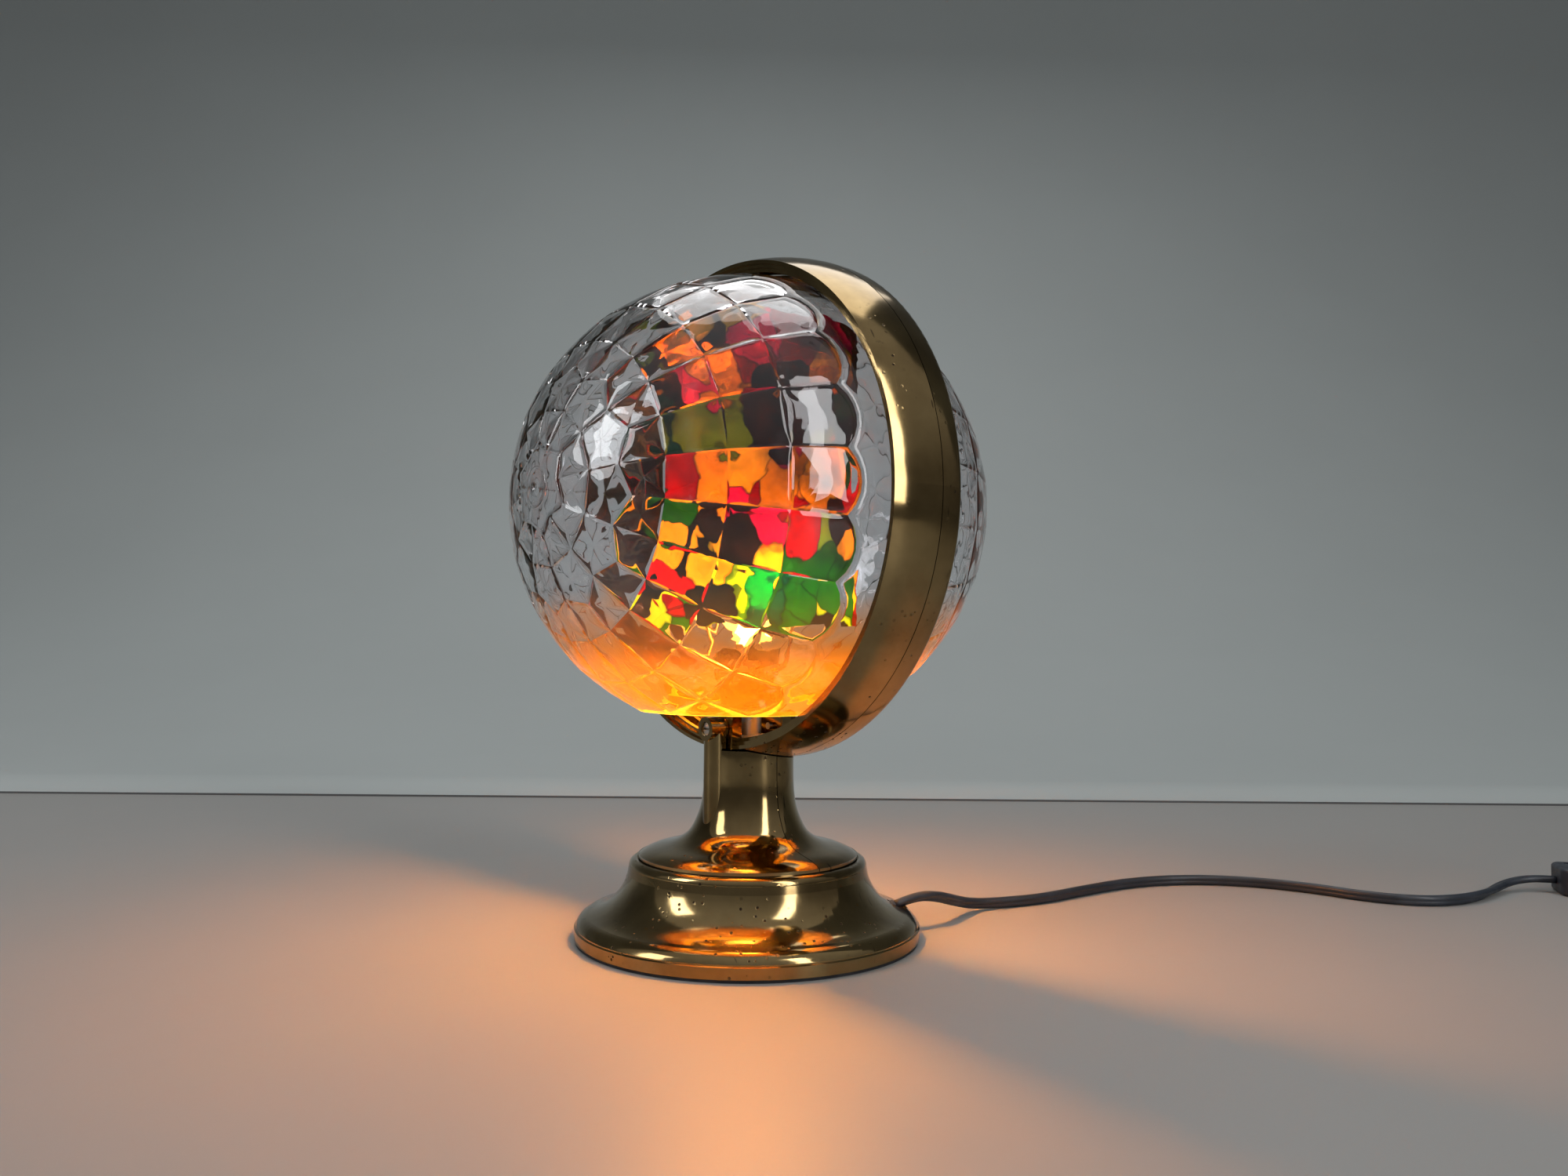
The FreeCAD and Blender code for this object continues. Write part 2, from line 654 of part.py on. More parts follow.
def ring_lug(side, face_y):
    """Upright lug beside an ear, which the ear's screw bites into."""
    near = face_y
    far = face_y - side * LUG_THICK
    low_y, high_y = min(near, far), max(near, far)
    lug = block((-LUG_HALF_X, LUG_HALF_X), (low_y, high_y), (PAD_Z, LUG_TOP_Z))
    pilot = Part.makeCylinder(EAR_SCREW_R, 20.0, V(0, side * 30.0, EAR_SCREW_Z), V(0, -side, 0))
    return lug.cut(pilot)


def with_foot(ring, side, face_y, t_low, t_high):
    """The ring's section with its pad, its lug and its pipe hole."""
    slab = block((-SHELL_R, SHELL_R), (-t_high, -t_low), (0.0, GLOBE_Z - SHELL_R / 2))
    ring = ring.cut(ring_clear()).fuse(ring_pad().common(slab))
    ring = ring.fuse(ring_lug(side, face_y))
    pilot = Part.makeCylinder(EAR_SCREW_R, 30.0, V(0, side * 35.0, EAR_SCREW_Z), V(0, -side, 0))
    ring = ring.cut(pilot)
    return ring.cut(rod(PIPE_R + 0.2, 0.0, LUG_TOP_Z)).removeSplitter()


def ring_front():
    """Front part of the ring: stepped lip, domed band and the rib that the globe bears on."""
    seam = RING_SEAM_T + PARTING / 2
    lip_back = RING_FRONT_T - 2 * LIP_STEP - LIP_THICK
    ring = spun((band_radius(RING_FRONT_T), RING_FRONT_T), (
        (LIP_INNER_R + 2.9, RING_FRONT_T),
        (LIP_INNER_R + 2.9, RING_FRONT_T - LIP_STEP),
        (LIP_INNER_R + 1.5, RING_FRONT_T - LIP_STEP),
        (LIP_INNER_R + 1.5, RING_FRONT_T - 2 * LIP_STEP),
        (LIP_INNER_R, RING_FRONT_T - 2 * LIP_STEP),
        (LIP_INNER_R, lip_back),
        (band_radius(lip_back) - RING_WALL, lip_back),
        (band_radius(RIB_FRONT_T) - RING_WALL, RIB_FRONT_T),
        (RIB_INNER_R, RIB_FRONT_T),
        (RIB_INNER_R, RIB_BACK_T),
        (band_radius(RIB_BACK_T) - RING_WALL, RIB_BACK_T),
        (band_radius(seam) - RING_WALL, seam),
        (band_radius(seam), seam),
        ((band_radius(4.0), 4.0), (band_radius(RING_FRONT_T), RING_FRONT_T)),
    ))
    ring = along_globe(ring)
    return with_foot(ring, -1, -RING_FRONT_T, seam, RING_FRONT_T)


def ring_back():
    """Back part of the ring: rolled edge, back lip and the sleeve that clamps the globe."""
    seam = RING_SEAM_T - PARTING / 2
    ring = spun((band_radius(seam), seam), (
        ((band_radius(-9.0), -9.0), (band_radius(BACK_ROUND_T), BACK_ROUND_T)),
        ((BACK_VIA_R, BACK_VIA_T), (BACK_EDGE_R, RING_BACK_T)),
        (LIP_INNER_R, RING_BACK_T),
        (LIP_INNER_R, RING_BACK_T + LIP_THICK),
        (SLEEVE_INNER_R, RING_BACK_T + LIP_THICK),
        (SLEEVE_INNER_R, SLEEVE_FRONT_T),
        (SLEEVE_OUTER_R, SLEEVE_FRONT_T),
        (SLEEVE_OUTER_R, seam),
    ))
    ring = along_globe(ring)
    beside_pad = PAD_HALF_X + SEAT
    ring = ring.cut(block((-beside_pad, beside_pad), (-2 * RING_FRONT_T, -seam), (0.0, GLOBE_Z - SHELL_R / 2)))
    return with_foot(ring, 1, -RING_BACK_T, RING_BACK_T, seam)


# Clear globe halves, modelled with the globe's axis as Z and the pole at +Z

def toward(theta, phi, radius):
    """Point at an angle from the pole and round the axis; phi 0 is up on the lamp."""
    a = math.radians(theta)
    b = math.radians(phi)
    return V(-math.sin(b) * math.sin(a) * radius, math.cos(b) * math.sin(a) * radius, math.cos(a) * radius)


def plane_radius(theta, phi, normal, distance):
    """How far out a plane lies in the direction of two angles."""
    return distance / toward(theta, phi, 1.0).dot(normal)


def polygon(points):
    """Flat face on a ring of points."""
    return Part.Face(Part.makePolygon(list(points) + [points[0]]))


def facet_faces():
    """Faces of the faceted dome from the pole out past the scalloped tips."""
    tip_normal = toward(TIP_NORMAL_ANGLE, 0.0, 1.0)
    tip_distance = SHELL_R * math.cos(math.radians(TIP_ANGLE - TIP_NORMAL_ANGLE))
    corner = plane_radius(ROW_ANGLES[-1], SECTOR / 2, tip_normal, tip_distance)
    reach = plane_radius(TIP_REACH_ANGLE, SECTOR / 2, tip_normal, tip_distance)
    faces = []
    pole = V(0, 0, corner)
    rim = []
    for k in range(6):
        low = FACET_START + 60.0 * k
        hex_low = toward(HEXAGON_LOW, low, corner)
        hex_high = toward(HEXAGON_HIGH, low + 30.0, corner)
        hex_next = toward(HEXAGON_LOW, low + 60.0, corner)
        faces += [polygon((pole, hex_low, hex_high)), polygon((pole, hex_high, hex_next))]
        outer = [toward(DODECAGON_ANGLE, low + step, corner) for step in (0.0, 30.0, 60.0)]
        faces += [polygon((hex_low, outer[0], hex_high)), polygon((outer[0], outer[1], hex_high))]
        faces += [polygon((hex_high, outer[1], outer[2])), polygon((hex_high, outer[2], hex_next))]
    for k in range(12):
        low = FACET_START + 30.0 * k
        inner = [toward(DODECAGON_ANGLE, low, corner), toward(DODECAGON_ANGLE, low + 30.0, corner)]
        side = [toward(ZIGZAG_LOW, low, corner), toward(ZIGZAG_LOW, low + 30.0, corner)]
        normal = (inner[1].sub(inner[0])).cross(side[0].sub(inner[0])).normalize()
        if normal.z < 0:
            normal = normal * -1.0
        peak = toward(ZIGZAG_HIGH, low + 15.0, plane_radius(ZIGZAG_HIGH, low + 15.0, normal, normal.dot(inner[0])))
        faces.append(polygon((inner[0], side[0], peak, side[1], inner[1])))
        row = [toward(ROW_ANGLES[0], low + step, corner) for step in (0.0, 15.0, 30.0)]
        faces += [polygon((side[0], row[0], row[1])), polygon((side[0], row[1], peak))]
        faces += [polygon((peak, row[1], side[1])), polygon((side[1], row[1], row[2]))]
    for k in range(SECTORS):
        low = FACET_START + SECTOR * k
        for near, far in zip(ROW_ANGLES, ROW_ANGLES[1:]):
            faces.append(polygon((toward(near, low, corner), toward(far, low, corner),
                                  toward(far, low + SECTOR, corner), toward(near, low + SECTOR, corner))))
        faces.append(polygon((toward(ROW_ANGLES[-1], low, corner), toward(TIP_REACH_ANGLE, low, reach),
                              toward(TIP_REACH_ANGLE, low + SECTOR, reach),
                              toward(ROW_ANGLES[-1], low + SECTOR, corner))))
        rim.append(toward(TIP_REACH_ANGLE, low, reach))
    return faces, rim


def faceted_dome():
    """Solid bounded by the facets, with straight sides far enough down for the skirt."""
    faces, rim = facet_faces()
    depth = V(0, 0, -25.0)
    lower = [point.add(depth) for point in rim]
    for k in range(SECTORS):
        after = (k + 1) % SECTORS
        faces.append(polygon((rim[k], lower[k], lower[after], rim[after])))
    faces.append(polygon(lower))
    shell = Part.Shell(faces)
    solid = Part.Solid(shell)
    if solid.Volume < 0:
        solid.reverse()
    return solid


def half_globe(centre_t, skirt_t):
    """One clear half: faceted dome, plain band, skirt with lugs, and the flat cut below."""
    skirt = centre_t - skirt_t
    smooth = Part.makeSphere(SHELL_R, V(0, 0, 0), V(0, 0, 1), 0, 90, 360)
    smooth = smooth.fuse(Part.makeCylinder(SHELL_R, skirt, V(0, 0, -skirt)))
    solid = smooth.common(faceted_dome())
    button = Part.makeCylinder(BUTTON_R, 10.0, V(0, 0, SHELL_R - 9.0))
    button = button.common(Part.makeSphere(SHELL_R + BUTTON_PROUD, V(0, 0, 0)))
    solid = solid.fuse(button)
    dimple = Part.makeCylinder(DIMPLE_R, 5.0, V(0, 0, SHELL_R + BUTTON_PROUD - DIMPLE_DEEP))
    solid = solid.cut(dimple)
    hollow = Part.makeSphere(SHELL_INNER_R, V(0, 0, 0), V(0, 0, 1), 0, 90, 360)
    hollow = hollow.fuse(Part.makeCylinder(SHELL_INNER_R, skirt + 1.0, V(0, 0, -skirt - 1.0)))
    solid = solid.cut(hollow)
    for angle in LUG_RING_ANGLES:
        lug = Part.makeCylinder(LUG_RING_R, LUG_RING_THICK, V(0, 0, -skirt), V(0, 0, 1), LUG_RING_SPAN)
        lug = lug.cut(Part.makeCylinder(SHELL_R - 1.0, 10.0, V(0, 0, -skirt - 5.0)))
        solid = solid.fuse(turned(lug, 90.0 + angle - LUG_RING_SPAN / 2))
    solid = moved(solid, z=centre_t)
    solid = along_globe(solid)
    return solid.cut(block((-2 * SHELL_R, 2 * SHELL_R), (-2 * SHELL_R, 2 * SHELL_R), (0, CUT_Z)))


# Lamp pipe, lampholder and bulb

def hexagon_nut(low, high):
    """Six-sided nut with a bore that clears the lamp pipe."""
    corner = NUT_FLATS_R / math.cos(math.radians(30))
    points = []
    for k in range(6):
        angle = math.radians(60 * k)
        points.append(V(corner * math.cos(angle), corner * math.sin(angle), low))
    prism = polygon(points).extrude(V(0, 0, high - low))
    return prism.cut(rod(PIPE_R + RUNNING, low - 1, high + 1))


def lampholder_base():
    """Lower cap of the lampholder, screwed on the pipe."""
    cap = spun((0.0, HOLDER_BOTTOM_Z), (
        (PIPE_R + 3.0, HOLDER_BOTTOM_Z),
        ((HOLDER_R - 1.2, HOLDER_BOTTOM_Z + 1.6), (HOLDER_R, HOLDER_BOTTOM_Z + 4.5)),
        (HOLDER_R, HOLDER_SPLIT_Z),
        (0.0, HOLDER_SPLIT_Z),
    ))
    cap = cap.cut(rod(PIPE_R + RUNNING, HOLDER_BOTTOM_Z - 1, HOLDER_SPLIT_Z + 1))
    return cap.cut(rod(HOLDER_R - 3.5, HOLDER_SPLIT_Z - 2.0, HOLDER_SPLIT_Z + 1))


def lampholder_shell():
    """Upper skirt of the lampholder."""
    return pipe(HOLDER_BORE_R, HOLDER_R, HOLDER_SPLIT_Z, HOLDER_TOP_Z)


def socket_seat():
    """Porcelain disc that carries the contact and the threaded sleeve, on three posts."""
    disc = pipe(1.2, HOLDER_BORE_R - RUNNING, SEAT_DISC_Z, SEAT_DISC_Z + SEAT_DISC_THICK)
    for side in (-1, 1):
        disc = disc.cut(rod(1.4, SEAT_DISC_Z - 1, SEAT_DISC_Z + SEAT_DISC_THICK + 1, side * 5.0))
    return disc


def socket_sleeve():
    """Brass sleeve that the bulb screws into."""
    return pipe(CAP_R + 0.15, SLEEVE_R, SEAT_DISC_Z + SEAT_DISC_THICK, HOLDER_TOP_Z - 1.0)


def socket_contact():
    """Brass centre contact."""
    low = SEAT_DISC_Z - 1.5
    return rod(1.2 - RUNNING, low, SEAT_DISC_Z + SEAT_DISC_THICK + 0.4).fuse(
        rod(2.6, SEAT_DISC_Z + SEAT_DISC_THICK, SEAT_DISC_Z + SEAT_DISC_THICK + 0.5))


def bulb_cap():
    """Screw cap of the bulb with its end contact."""
    contact_top = SEAT_DISC_Z + SEAT_DISC_THICK + 0.5
    shell = rod(CAP_R, CAP_BOTTOM_Z, CAP_TOP_Z).cut(rod(CAP_R - 0.6, CAP_BOTTOM_Z + 3.0, CAP_TOP_Z + 1))
    cone = Part.makeCone(2.2, CAP_R, CAP_BOTTOM_Z - contact_top - 0.1, V(0, 0, contact_top + 0.1))
    return shell.fuse(cone)


def bulb_glass():
    """Round clear glass envelope, open at the cap."""
    inner = BULB_R - GLASS_WALL
    neck_inner = BULB_NECK_R - GLASS_WALL
    neck_top = BULB_Z - math.sqrt(BULB_R ** 2 - BULB_NECK_R ** 2)
    neck_top_inner = BULB_Z - math.sqrt(inner ** 2 - neck_inner ** 2)
    top = BULB_Z + BULB_R
    return spun((BULB_NECK_R, CAP_TOP_Z), (
        (BULB_NECK_R, neck_top),
        ((BULB_R, BULB_Z), (0.0, top)),
        (0.0, top - GLASS_WALL),
        ((inner, BULB_Z), (neck_inner, neck_top_inner)),
        (neck_inner, CAP_TOP_Z),
    ))


def filament():
    """Glass stem with two lead wires and the bowed filament."""
    stem = Part.makeCone(BULB_NECK_R - GLASS_WALL - RUNNING, STEM_TIP_R, STEM_TALL, V(0, 0, CAP_TOP_Z))
    stem_top = CAP_TOP_Z + STEM_TALL
    points = ((-1.4, 0, stem_top - 2.0), (-1.6, 0, stem_top + 4.0), (-6.5, 0, FILAMENT_Z - 2.0),
              (-6.0, 0, FILAMENT_Z), (-3.4, 0, FILAMENT_Z + 3.4), (0.0, 0, FILAMENT_Z + 4.6))
    mirrored = [(-x, y, z) for x, y, z in reversed(points[:-1])]
    return stem.fuse(bent_wire(list(points) + mirrored, LEAD_R))


# Needle frame and needle

def needle_frame():
    """Spring clip round the lampholder with a wire arch over the bulb."""
    clip = pipe(HOLDER_R + RUNNING, HOLDER_R + CLIP_THICK, CLIP_BOTTOM_Z, CLIP_BOTTOM_Z + CLIP_TALL)
    mid = CLIP_BOTTOM_Z + CLIP_TALL / 2
    arch_side = FRAME_REACH - 10.0
    points = [(HOLDER_R + CLIP_THICK / 2, 0, mid), (FRAME_REACH - 5.0, 0, mid + 0.8),
              (FRAME_REACH, 0, mid + 12.0), (FRAME_REACH - 1.0, 0, FRAME_TOP_Z - 52.0),
              (FRAME_REACH - 3.0, 0, FRAME_TOP_Z - 16.0), (arch_side, 0, FRAME_TOP_Z - 2.0),
              (6.0, 0, FRAME_TOP_Z + 0.2)]
    mirrored = [(-x, y, z) for x, y, z in reversed(points)]
    return clip.fuse(bent_wire(points + mirrored, FRAME_WIRE_R)).removeSplitter()


def pivot_needle(frame):
    """Pointed steel needle in a collar on the frame's arch."""
    low = FRAME_TOP_Z - COLLAR_TALL / 2
    body = rod(COLLAR_R, low, low + COLLAR_TALL)
    body = body.fuse(rod(NEEDLE_R, low, NEEDLE_TIP_Z - NEEDLE_POINT))
    body = body.fuse(Part.makeCone(NEEDLE_R, 0.15, NEEDLE_POINT, V(0, 0, NEEDLE_TIP_Z - NEEDLE_POINT)))
    return body.cut(frame)


# Turning drum

def colour_film():
    """Printed transparent film rolled into a cylinder."""
    return pipe(DRUM_R - FILM_THICK, DRUM_R, DRUM_BOTTOM_Z, DRUM_TOP_Z)


HOOP_R = DRUM_R - FILM_THICK - RUNNING


def drum_hoop():
    """Hoop that keeps the film's lower end round."""
    return pipe(HOOP_R - HOOP_THICK, HOOP_R, DRUM_BOTTOM_Z, DRUM_BOTTOM_Z + HOOP_TALL)


def fan_wheel():
    """Stamped vane wheel: hub disc, pitched vanes and an outer hoop."""
    half = HOOP_TALL / 2
    rim = pipe(HOOP_R - HOOP_THICK, HOOP_R, FAN_Z - half, FAN_Z + half)
    hub = rod(FAN_HUB_R, FAN_Z - FAN_PLATE / 2, FAN_Z + FAN_PLATE / 2)
    parts = [rim, hub]
    root = FAN_HUB_R - 2.0
    tip = HOOP_R - HOOP_THICK / 2
    for k in range(VANES):
        flat = polygon((V(root, -VANE_ROOT_HALF, -FAN_PLATE / 2), V(tip, -VANE_TIP_HALF, -FAN_PLATE / 2),
                        V(tip, VANE_TIP_HALF, -FAN_PLATE / 2), V(root, VANE_ROOT_HALF, -FAN_PLATE / 2)))
        vane = turned(flat.extrude(V(0, 0, FAN_PLATE)), VANE_PITCH, (1, 0, 0))
        vane = vane.common(rod(HOOP_R - HOOP_THICK / 2, -30, 30))
        parts.append(turned(moved(vane, z=FAN_Z), 360.0 / VANES * k))
    return joined(parts).cut(rod(CUP_R + RUNNING, FAN_Z - 10, FAN_Z + 10))


def pivot_cup():
    """Brass cup in the hub that hangs the drum on the needle's point."""
    top = CUP_BOTTOM_Z + CUP_TALL
    cup = rod(CUP_R, CUP_BOTTOM_Z, top)
    flange = pipe(CUP_R - 0.5, CUP_R + 1.5, FAN_Z + FAN_PLATE / 2, FAN_Z + FAN_PLATE / 2 + 0.8)
    bore = rod(NEEDLE_R + RUNNING, CUP_BOTTOM_Z - 1, NEEDLE_TIP_Z + 0.1)
    return cup.fuse(flange).cut(bore)


# Supply wires in the stem

def supply_wires():
    """Two insulated conductors from the cord's end up through the lamp pipe."""
    entry = CLAMP_POINT.sub(HOLE_HEADING * (CLAMP_LONG / 2 + 0.6))
    level = V(HOLE_HEADING.x, HOLE_HEADING.y, 0).normalize()
    beside = V(-level.y, level.x, 0)
    aim = V(-CLAMP_POINT.x, -CLAMP_POINT.y, 0).normalize()
    across = V(-aim.y, aim.x, 0)
    over_z = WEIGHT_TOP_Z + 4.5
    profile = ((WEIGHT_R + 2.6, entry.z + 3.0), (WEIGHT_R + 1.8, over_z - 2.5), (WEIGHT_R - 3.0, over_z),
               (14.0, over_z + 1.5), (4.0, over_z + 8.0), (0.0, over_z + 22.0), (0.0, HOLDER_SPLIT_Z - 2.0))
    solids = []
    for side in (-1, 1):
        start = entry.add(beside * (side * -WIRE_SPREAD))
        turn = start.sub(HOLE_HEADING * 2.4)
        points = [(start.x, start.y, start.z), (turn.x, turn.y, turn.z)]
        for distance, z in profile:
            point = across * (side * WIRE_SPREAD) - aim * distance
            points.append((point.x, point.y, z))
        solids.append(bent_wire(points, WIRE_R))
    return Part.makeCompound(solids)


# Inline switch, in its own frame: x along the cord from the near end, z up

def switch_placed(shape):
    """From the switch's own frame to its place on the table."""
    return moved(turned(shape, SWITCH_TURN), SWITCH_AT[0], SWITCH_AT[1], 0.0)


SWITCH_SCREWS = ((SWITCH_SCREW_INSET, SWITCH_SCREW_SIDE), (SWITCH_LONG - SWITCH_SCREW_INSET, -SWITCH_SCREW_SIDE))
ROCKER_X = SWITCH_LONG / 2
LEVER_HALF = ROCKER_HALF_WIDE + ROCKER_GAP


def switch_case(low, high):
    """Rounded slab of the switch's outline."""
    body = rounded_block(SWITCH_LONG / 2, SWITCH_WIDE / 2, SWITCH_CORNER, low, high)
    return moved(body, x=SWITCH_LONG / 2)


def softened(body, height):
    """Edges that lie flat at a height, rounded."""
    rim = [edge for edge in body.Edges if all(abs(v.Z - height) < 0.001 for v in edge.Vertexes)]
    return body.makeFillet(SWITCH_EDGE, rim)


def switch_pocket(low, high):
    """Room inside one half of the switch."""
    inner = rounded_block(SWITCH_LONG / 2 - SWITCH_WALL, SWITCH_WIDE / 2 - SWITCH_WALL,
                          SWITCH_CORNER - SWITCH_WALL, low, high)
    return moved(inner, x=SWITCH_LONG / 2)


def switch_base():
    """Lower half of the switch."""
    body = softened(switch_case(0.0, SWITCH_SPLIT_Z), 0.0)
    body = body.cut(switch_pocket(SWITCH_WALL, SWITCH_SPLIT_Z + 1))
    for x, y in SWITCH_SCREWS:
        body = body.fuse(rod(SWITCH_BOSS_R, SWITCH_WALL - 0.5, SWITCH_SPLIT_Z, x, y))
        body = body.cut(rod(SWITCH_SCREW_R, 1.2, SWITCH_SPLIT_Z + 1, x, y))
    return switch_placed(body)


def switch_cover():
    """Upper half of the switch with the rocker's window and cheeks."""
    low = SWITCH_SPLIT_Z
    body = softened(switch_case(low, SWITCH_TALL), SWITCH_TALL)
    body = body.cut(switch_pocket(low - 1, SWITCH_TALL - SWITCH_WALL))
    cheek_low = ROCKER_Z - PIN_R - 1.4
    for side in (-1, 1):
        inner = side * LEVER_HALF
        outer = side * (LEVER_HALF + CHEEK_THICK)
        cheek = block((ROCKER_X - CHEEK_HALF_LONG, ROCKER_X + CHEEK_HALF_LONG),
                      (min(inner, outer), max(inner, outer)), (cheek_low, SWITCH_TALL - 0.5))
        body = body.fuse(cheek)
    window_half = ROCKER_R + ROCKER_GAP
    body = body.cut(block((ROCKER_X - window_half, ROCKER_X + window_half), (-LEVER_HALF, LEVER_HALF),
                          (low - 1, SWITCH_TALL + 1)))
    half_pin = LEVER_HALF + CHEEK_THICK
    body = body.cut(Part.makeCylinder(PIN_R + RUNNING, 2 * half_pin, V(ROCKER_X, -half_pin, ROCKER_Z), V(0, 1, 0)))
    for x, y in SWITCH_SCREWS:
        body = body.fuse(rod(SWITCH_BOSS_R, low, SWITCH_TALL - 0.5, x, y))
        body = body.cut(rod(SWITCH_SCREW_R + 0.2, low - 1, SWITCH_TALL + 1, x, y))
        body = body.cut(rod(SWITCH_SCREW_HEAD_R + 0.2, SWITCH_TALL - SWITCH_SCREW_SINK, SWITCH_TALL + 1, x, y))
    return switch_placed(body)


def switch_rocker():
    """Rocker with a shallow valley, tipped to its on side."""
    width = 2 * ROCKER_HALF_WIDE
    drum = Part.makeCylinder(ROCKER_R, width, V(0, -ROCKER_HALF_WIDE, 0), V(0, 1, 0))
    body = drum
    for side in (-1, 1):
        over = block((0, 12), (-10, 10), (ROCKER_VALLEY, 20))
        over = turned(over, -ROCKER_TILT, (0, 1, 0), (0, 0, ROCKER_VALLEY))
        if side < 0:
            over = over.mirror(V(0, 0, 0), V(1, 0, 0))
        body = body.cut(over)
    body = body.cut(block((-12, 12), (-10, 10), (-20, -3.6)))
    body = body.cut(Part.makeCylinder(PIN_R + RUNNING, 2 * width, V(0, -width, 0), V(0, 1, 0)))
    body = turned(body, ROCKER_TILT, (0, 1, 0))
    return switch_placed(moved(body, x=ROCKER_X, z=ROCKER_Z))


def rocker_pin():
    """Steel pin through the cheeks and the rocker."""
    half = LEVER_HALF + CHEEK_THICK
    return switch_placed(Part.makeCylinder(PIN_R, 2 * half, V(ROCKER_X, -half, ROCKER_Z), V(0, 1, 0)))


def switch_screws():
    """Two screws that close the switch."""
    seat_z = SWITCH_TALL - SWITCH_SCREW_SINK
    one = screw(SWITCH_SCREW_R - RUNNING, SWITCH_SCREW_HEAD_R, SWITCH_SCREW_HEAD, seat_z - 1.8)
    return switch_placed(Part.makeCompound([moved(one, x, y, seat_z) for x, y in SWITCH_SCREWS]))


def switch_contacts():
    """Two brass contact strips on the floor of the switch."""
    strips = []
    for side in (-1, 1):
        middle = ROCKER_X + side * 9.0
        strips.append(block((middle - 4.0, middle + 4.0), (-2.5, 2.5), (SWITCH_WALL, SWITCH_WALL + CONTACT_THICK)))
    return switch_placed(Part.makeCompound(strips))


# Coil and plug, worked out from the switch's far end

COIL_HEADING = V(math.cos(math.radians(SWITCH_TURN)), math.sin(math.radians(SWITCH_TURN)), 0)
COIL_SIDE = V(-COIL_HEADING.y, COIL_HEADING.x, 0)
SWITCH_FAR = V(SWITCH_AT[0], SWITCH_AT[1], 0).add(COIL_HEADING * SWITCH_LONG)
COIL_CENTRE = SWITCH_FAR.add(COIL_HEADING * COIL_START_RUN).sub(COIL_SIDE * COIL_R)


def coil_point(ahead, side, z):
    """Place in the coil's own frame."""
    point = COIL_CENTRE.add(COIL_HEADING * ahead).add(COIL_SIDE * side)
    return V(point.x, point.y, z)


def coil_wire():
    """Half turns that spiral in on the table, climb, and spiral out on top."""
    low = CORD_R
    high = CORD_R + COIL_PITCH
    step = COIL_PITCH / 2
    radii = [COIL_R - step * k for k in range(COIL_HALF_TURNS)]
    climb = COIL_R - step * COIL_HALF_TURNS
    plan = [(r, low, low) for r in radii] + [(climb, low, high)] + [(r, high, high) for r in reversed(radii)]
    edges = []
    place = COIL_R
    start = coil_point(-CORD_R * 2, place, low)
    edges.append(Part.LineSegment(start, coil_point(0, place, low)).toShape())
    ahead = 1
    for radius, z_from, z_to in plan:
        middle = place - ahead * radius
        reach = math.hypot(radius, (z_to - z_from) / 2)
        via = coil_point(ahead * reach, middle, (z_from + z_to) / 2)
        arc = Part.Arc(coil_point(0, place, z_from), via, coil_point(0, middle - ahead * radius, z_to))
        edges.append(arc.toShape())
        place = middle - ahead * radius
        ahead = -ahead
    last = coil_point(ahead * CORD_R * 2, place, high)
    edges.append(Part.LineSegment(coil_point(0, place, high), last).toShape())
    return Part.Wire(edges), last, COIL_HEADING * ahead


def least_gap(wire, radius):
    """Smallest distance between the surfaces of parts of the coil that aren't neighbours."""
    count = 700
    places = wire.discretize(Number=count)
    spacing = wire.Length / (count - 1)
    skip = int(math.pi * 2 * radius / spacing) + 2
    nearest = min(places[i].distanceToPoint(places[j])
                  for i in range(count) for j in range(i + skip, count))
    return nearest - 2 * radius


def lead_route(coil_start):
    """Points from the switch's far end down to the coil's first turn."""
    far = SWITCH_FAR
    fall = coil_start.sub(V(far.x, far.y, coil_start.z)).Length
    points = [(0.0, 6.0), (0.22, 6.0), (0.52, 4.0), (0.8, CORD_R), (1.0, CORD_R)]
    route = []
    for share, z in points:
        place = far.add(COIL_HEADING * (fall * share))
        route.append((place.x, place.y, z))
    return route


def tail_route(start, heading):
    """Points from the coil's end down to the plug beside it."""
    first, second, third = TAIL_RUNS
    reach = (0.0, first, first + second, first + second + third)
    heights = (start.z, start.z, PLUG_Z, PLUG_Z)
    route = []
    for distance, z in zip(reach, heights):
        place = start.add(heading * distance)
        route.append((place.x, place.y, z))
    return route


def plug_placed(shape, at, heading):
    """From the plug's own frame, x out of the pins, to its place beside the coil."""
    angle = math.degrees(math.atan2(heading.y, heading.x))
    return moved(turned(shape, angle), at[0], at[1], at[2])


def plug_body():
    """Flat two-pin plug, widening from the cord to its face."""
    wires = []
    for x, wide, tall in ((0.0, PLUG_REAR_WIDE, PLUG_REAR_TALL), (PLUG_LONG * 0.35, PLUG_REAR_WIDE + 8, PLUG_TALL),
                          (PLUG_LONG, PLUG_FRONT_WIDE, PLUG_TALL)):
        section = rounded_section(tall / 2, wide / 2, PLUG_CORNER, 0.0)
        wires.append(moved(turned(section, 90, (0, 1, 0)), x=x))
    body = Part.makeLoft(wires, True, True)
    for side in (-1, 1):
        socket = Part.makeCylinder(PLUG_PIN_R, PLUG_PIN_INSET + 1,
                                   V(PLUG_LONG - PLUG_PIN_INSET, side * PLUG_PIN_PITCH / 2, 0), V(1, 0, 0))
        body = body.cut(socket)
    return body


